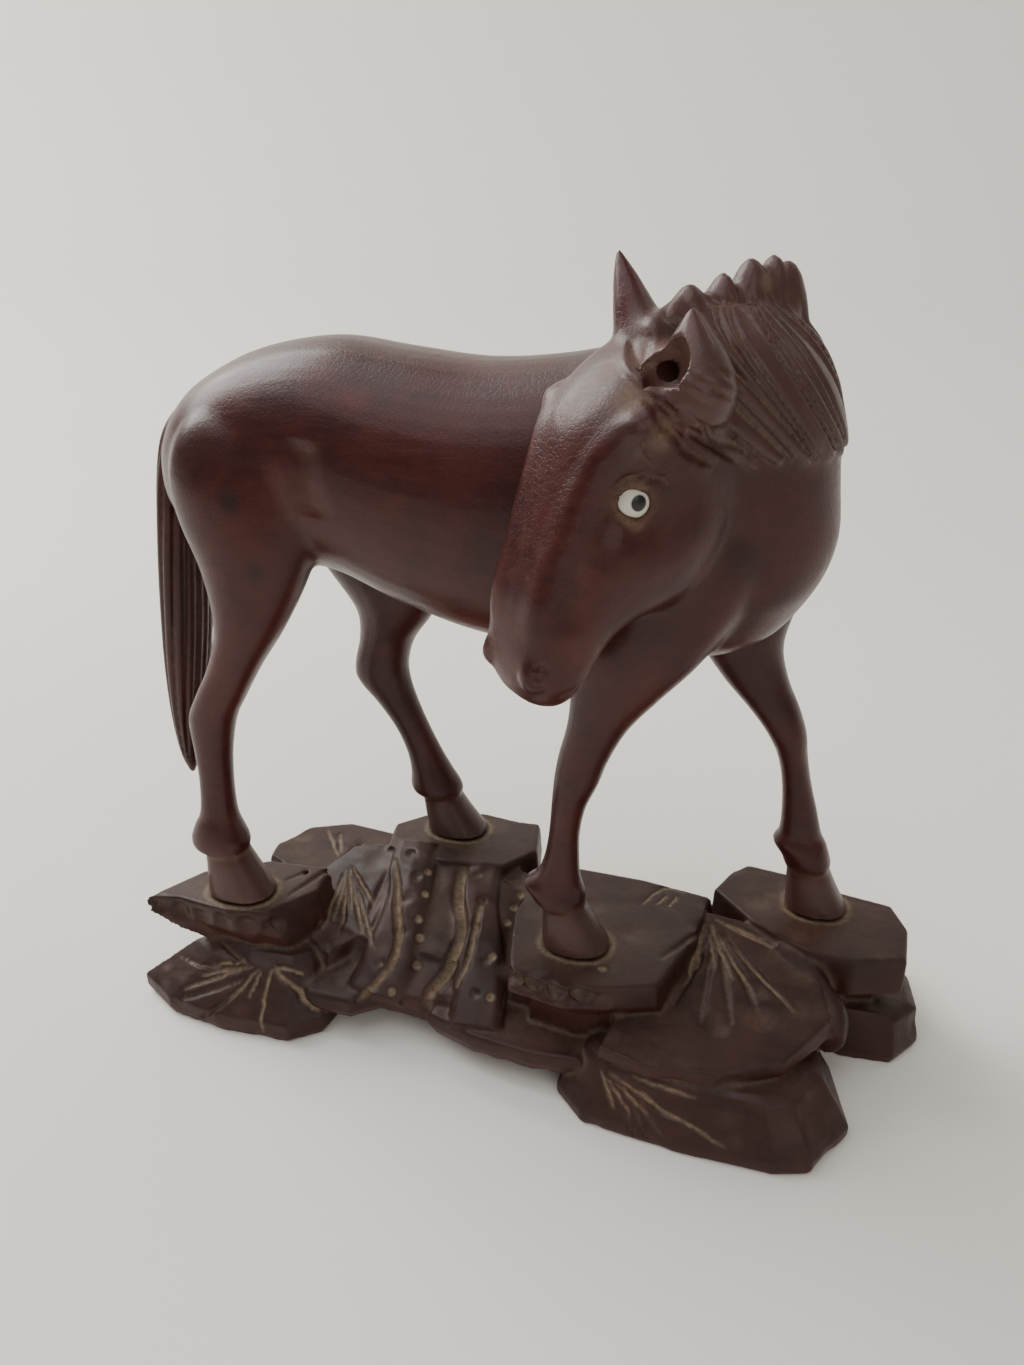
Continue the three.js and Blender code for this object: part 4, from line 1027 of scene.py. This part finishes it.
# %% Dust group
dusty, dusty_in, dusty_out = new_group(
    "settled_dust",
    {"Clean": (0.1, 0.03, 0.02, 1), "Dust": (0.28, 0.2, 0.13, 1), "Amount": 1.0, "On Top": 0.0, "Fine": 3.0,
     "Broad": 0.3},
    {"Color": "NodeSocketColor", "Mask": "NodeSocketFloat"},
)
cut_mark, fine_mark, broad_mark = (mark(dusty, name) for name in ("dust", "fine_hollow", "broad_hollow"))
speck = node(dusty, "TexNoise", {"Scale": 900.0, "Detail": 5.0, "Roughness": 0.7},
             Vector=node(dusty, "TexCoord").outputs["Object"]).outputs[0]
up = node(dusty, "SeparateXYZ", Vector=node(dusty, "NewGeometry").outputs["Normal"]).outputs["Z"]
lying = times(dusty, ramp(dusty, up, [(0.6, grey(0)), (0.98, grey(1))]), dusty_in.outputs["On Top"])
gathered = plus(dusty, times(dusty, fine_mark, dusty_in.outputs["Fine"]),
                times(dusty, broad_mark, dusty_in.outputs["Broad"]))
gathered = plus(dusty, times(dusty, cut_mark, 0.9), plus(dusty, gathered, lying), clamp=True)
mask = times(dusty, gathered, ramp(dusty, speck, [(0.34, grey(0.35)), (0.6, grey(1))]))
mask = times(dusty, mask, dusty_in.outputs["Amount"], clamp=True)
colour = mixed(dusty, mask, dusty_in.outputs["Clean"], dusty_in.outputs["Dust"])
dusty.links.new(colour, dusty_out.inputs["Color"])
dusty.links.new(mask, dusty_out.inputs["Mask"])
print("dust group:", len(dusty.nodes), "nodes")

# %% [markdown]
# ## Lacquer on the horse
# The horse shines softly. Its lacquer has crazed into a fine net that shows only in highlights, so the net is
# a small bump, and rubbed places on the rump and belly show warmer wood.

# %% Tools for finishes
def group_node(tree, group, values=None, **links):
    made = tree.nodes.new("ShaderNodeGroup")
    made.node_tree = group
    for key, value in (values or {}).items():
        made.inputs[key].default_value = value
    for key, source in links.items():
        tree.links.new(source, made.inputs[key.replace("_", " ")])
    return made


def new_finish(name):
    finish = bpy.data.materials.new(name)
    finish.use_nodes = True
    return finish, finish.node_tree, finish.node_tree.nodes["Principled BSDF"]


def put_on(piece, finish):
    piece.data.materials.clear()
    piece.data.materials.append(finish)


def marked(tree, name, share, below, colour):
    return mixed(tree, times(tree, mark(tree, name), share), below, colour)


def dusty_gloss(tree, skin, body, dust, shiny, dull):
    gloss = ramp(tree, body.outputs["Fibre"], [(0.3, grey(shiny)), (0.7, grey(dull))])
    roughness = plus(tree, gloss, times(tree, dust.outputs["Mask"], 0.4))
    tree.links.new(dust.outputs["Color"], skin.inputs["Base Color"])
    tree.links.new(roughness, skin.inputs["Roughness"])


def bumpy(tree, skin, height, strength, distance):
    bump = node(tree, "Bump", {"Strength": strength, "Distance": distance}, Height=height).outputs[0]
    tree.links.new(bump, skin.inputs["Normal"])


print("finish tools are ready")

# %% Horse finish
ROSEWOOD = {"Dark": (0.026, 0.0055, 0.0047, 1), "Middle": (0.045, 0.0082, 0.0065, 1),
            "Light": (0.072, 0.014, 0.0105, 1)}
# The grey colour is partly a painted sheen on the crest, and the near-black one is partly a painted shadow in the
# throat hollow.
WARM_WOOD, GREY_AND_SHEEN_COLOUR, DARK_SPOT_AND_SHADE_COLOUR = (0.125, 0.024, 0.013, 1), (0.095, 0.058, 0.049, 1), (0.012, 0.006, 0.006, 1)
HORSE_DUST = {"Dust": (0.2, 0.13, 0.075, 1), "Amount": 0.7, "Fine": 1.2, "Broad": 0.04}
lacquer, tree, skin = new_finish("horse_lacquer")
place = node(tree, "TexCoord").outputs["Object"]
body = group_node(tree, wood, ROSEWOOD)
rubbed = node(tree, "TexNoise", {"Scale": 150.0, "Detail": 6.0, "Roughness": 0.7}, Vector=place).outputs[0]
patchy = ramp(tree, rubbed, [(0.38, grey(0.15)), (0.66, grey(1))])
worn = times(tree, mark(tree, "reddened"), patchy)
colour = mixed(tree, times(tree, worn, 0.55), body.outputs["Color"], WARM_WOOD)
# painted sheen on the crest tops and by the poll, grey tone on the hooves and the mane
colour = marked(tree, "greyed", 0.6, colour, GREY_AND_SHEEN_COLOUR)
# painted shadow in the throat hollow, and two dark spots on the near thigh
colour = marked(tree, "darkened", 0.7, colour, DARK_SPOT_AND_SHADE_COLOUR)
dust = group_node(tree, dusty, HORSE_DUST, Clean=colour)
dusty_gloss(tree, skin, body, dust, 0.3, 0.42)
cells = node(tree, "TexVoronoi", {"Scale": 1100.0, "feature": "DISTANCE_TO_EDGE"}, Vector=place)
net = ramp(tree, cells.outputs["Distance"], [(0.0, grey(0)), (0.12, grey(1))])
wobble = node(tree, "TexNoise", {"Scale": 300.0, "Detail": 4.0}, Vector=place).outputs[0]
bumpy(tree, skin, plus(tree, times(tree, net, 0.3), wobble), 0.4, 0.00014)
skin.inputs["Specular IOR Level"].default_value = 0.28
skin.inputs["Coat Weight"].default_value = 0.12
skin.inputs["Coat Roughness"].default_value = 0.16
put_on(horse, lacquer)
print("horse finish:", len(tree.nodes), "nodes")

# %% [markdown]
# ## Finish of the stand
# The stand is darker and duller, with dust in every cut.

# %% Stand finish
ROCK_WOOD = {"Dark": (0.019, 0.0078, 0.006, 1), "Middle": (0.034, 0.0135, 0.01, 1),
             "Light": (0.055, 0.022, 0.016, 1)}
UNDER_LEDGES = (0.052, 0.0125, 0.0085, 1)
STAND_DUST = {"Dust": (0.25, 0.185, 0.12, 1), "Amount": 0.85, "On Top": 0.1, "Fine": 1.4, "Broad": 0.12}
rock_finish, tree, skin = new_finish("stand_finish")
place = node(tree, "TexCoord").outputs["Object"]
body = group_node(tree, wood, ROCK_WOOD)
under = marked(tree, "reddened", 0.8, body.outputs["Color"], UNDER_LEDGES)
dust = group_node(tree, dusty, STAND_DUST, Clean=under)
dusty_gloss(tree, skin, body, dust, 0.38, 0.55)
wobble = node(tree, "TexNoise", {"Scale": 500.0, "Detail": 4.0}, Vector=place).outputs[0]
bumpy(tree, skin, wobble, 0.5, 0.0002)
skin.inputs["Specular IOR Level"].default_value = 0.3
put_on(stand, rock_finish)
print("stand finish:", len(tree.nodes), "nodes")

# %% [markdown]
# ## Finish of the eyes
# The inlay is a pale bone colour with a black painted pupil. A ramp on the gaze mark paints it, sharp at the
# pupil's edge and slightly darker towards the back of the ball.

# %% Eye finish
BONE_BACK, BONE, PUPIL = (0.45, 0.42, 0.33), (0.62, 0.6, 0.5), (0.01, 0.008, 0.008)
inlay, tree, skin = new_finish("eye_inlay_paint")
colour = ramp(tree, mark(tree, "gaze"), [(0.0, BONE_BACK), (0.9, BONE), (0.93, PUPIL)])
tree.links.new(colour, skin.inputs["Base Color"])
skin.inputs["Roughness"].default_value = 0.3
for side in ("left_eye_inlay", "right_eye_inlay"):
    bpy.data.objects[side].data.materials.append(inlay)
print("eye finish:", len(tree.nodes), "nodes")

# %% [markdown]
# ## Floor and light
# The figure stands on a plain pale sweep of paper, flat under it and curved up behind. A large soft light comes
# from the upper left, as from a window. Weaker ones fill in from overhead and from the room, and one more
# lights the paper.

# %% Floor
SWEEP = ((1.4, 0.0), (0.12, 0.03), (0.1, 0.08), (0.06, 0.14), (0.03, 0.25), (0.0, 2.2))  # out and up, metres
floor_bm = bmesh.new()
edge = [floor_bm.verts.new((x, -1.2, 0)) for x in (-3, 3)]
strip = [floor_bm.edges.new(edge)]
for out, up in SWEEP:
    moved = bmesh.ops.extrude_edge_only(floor_bm, edges=strip)["geom"]
    strip = [e for e in moved if isinstance(e, bmesh.types.BMEdge)]
    corners = [v for v in moved if isinstance(v, bmesh.types.BMVert)]
    bmesh.ops.translate(floor_bm, vec=(0, out, up), verts=corners)
floor = new_piece(floor_bm, "paper_sweep")
round_shaded(floor)
paper, _, skin = new_finish("paper")
skin.inputs["Base Color"].default_value = (0.86, 0.83, 0.77, 1)
skin.inputs["Roughness"].default_value = 0.9
put_on(floor, paper)
print("floor strips:", len(floor.data.polygons))

# %% Lights
def soft_light(name, place, size, power, colour):
    data = bpy.data.lights.new(name, "AREA")
    data.shape = "RECTANGLE"
    data.size, data.size_y = size
    data.energy = power
    data.color = colour
    lamp = bpy.data.objects.new(name, data)
    bpy.context.scene.collection.objects.link(lamp)
    lamp.location = place
    lamp.rotation_euler = (Vector((0, 0, 0.08)) - Vector(place)).to_track_quat("-Z", "Y").to_euler()


soft_light("window", (-0.75, 0.35, 0.75), (0.9, 0.7), 17.0, (1.0, 0.98, 0.95))
soft_light("overhead", (-0.3, -0.25, 0.95), (1.0, 0.8), 5.0, (0.96, 0.96, 1.0))
soft_light("room", (0.55, -0.75, 0.6), (0.7, 0.7), 2.4, (1.0, 0.95, 0.9))
soft_light("backdrop", (0.15, 0.75, 0.95), (1.4, 0.5), 18.0, (1.0, 0.98, 0.95))
world = bpy.data.worlds.new("room")
bpy.context.scene.world = world
world.use_nodes = True
glow = world.node_tree.nodes["Background"]
glow.inputs["Color"].default_value = (0.92, 0.9, 0.86, 1)
glow.inputs["Strength"].default_value = 0.26
print("lights:", len(bpy.data.lights))
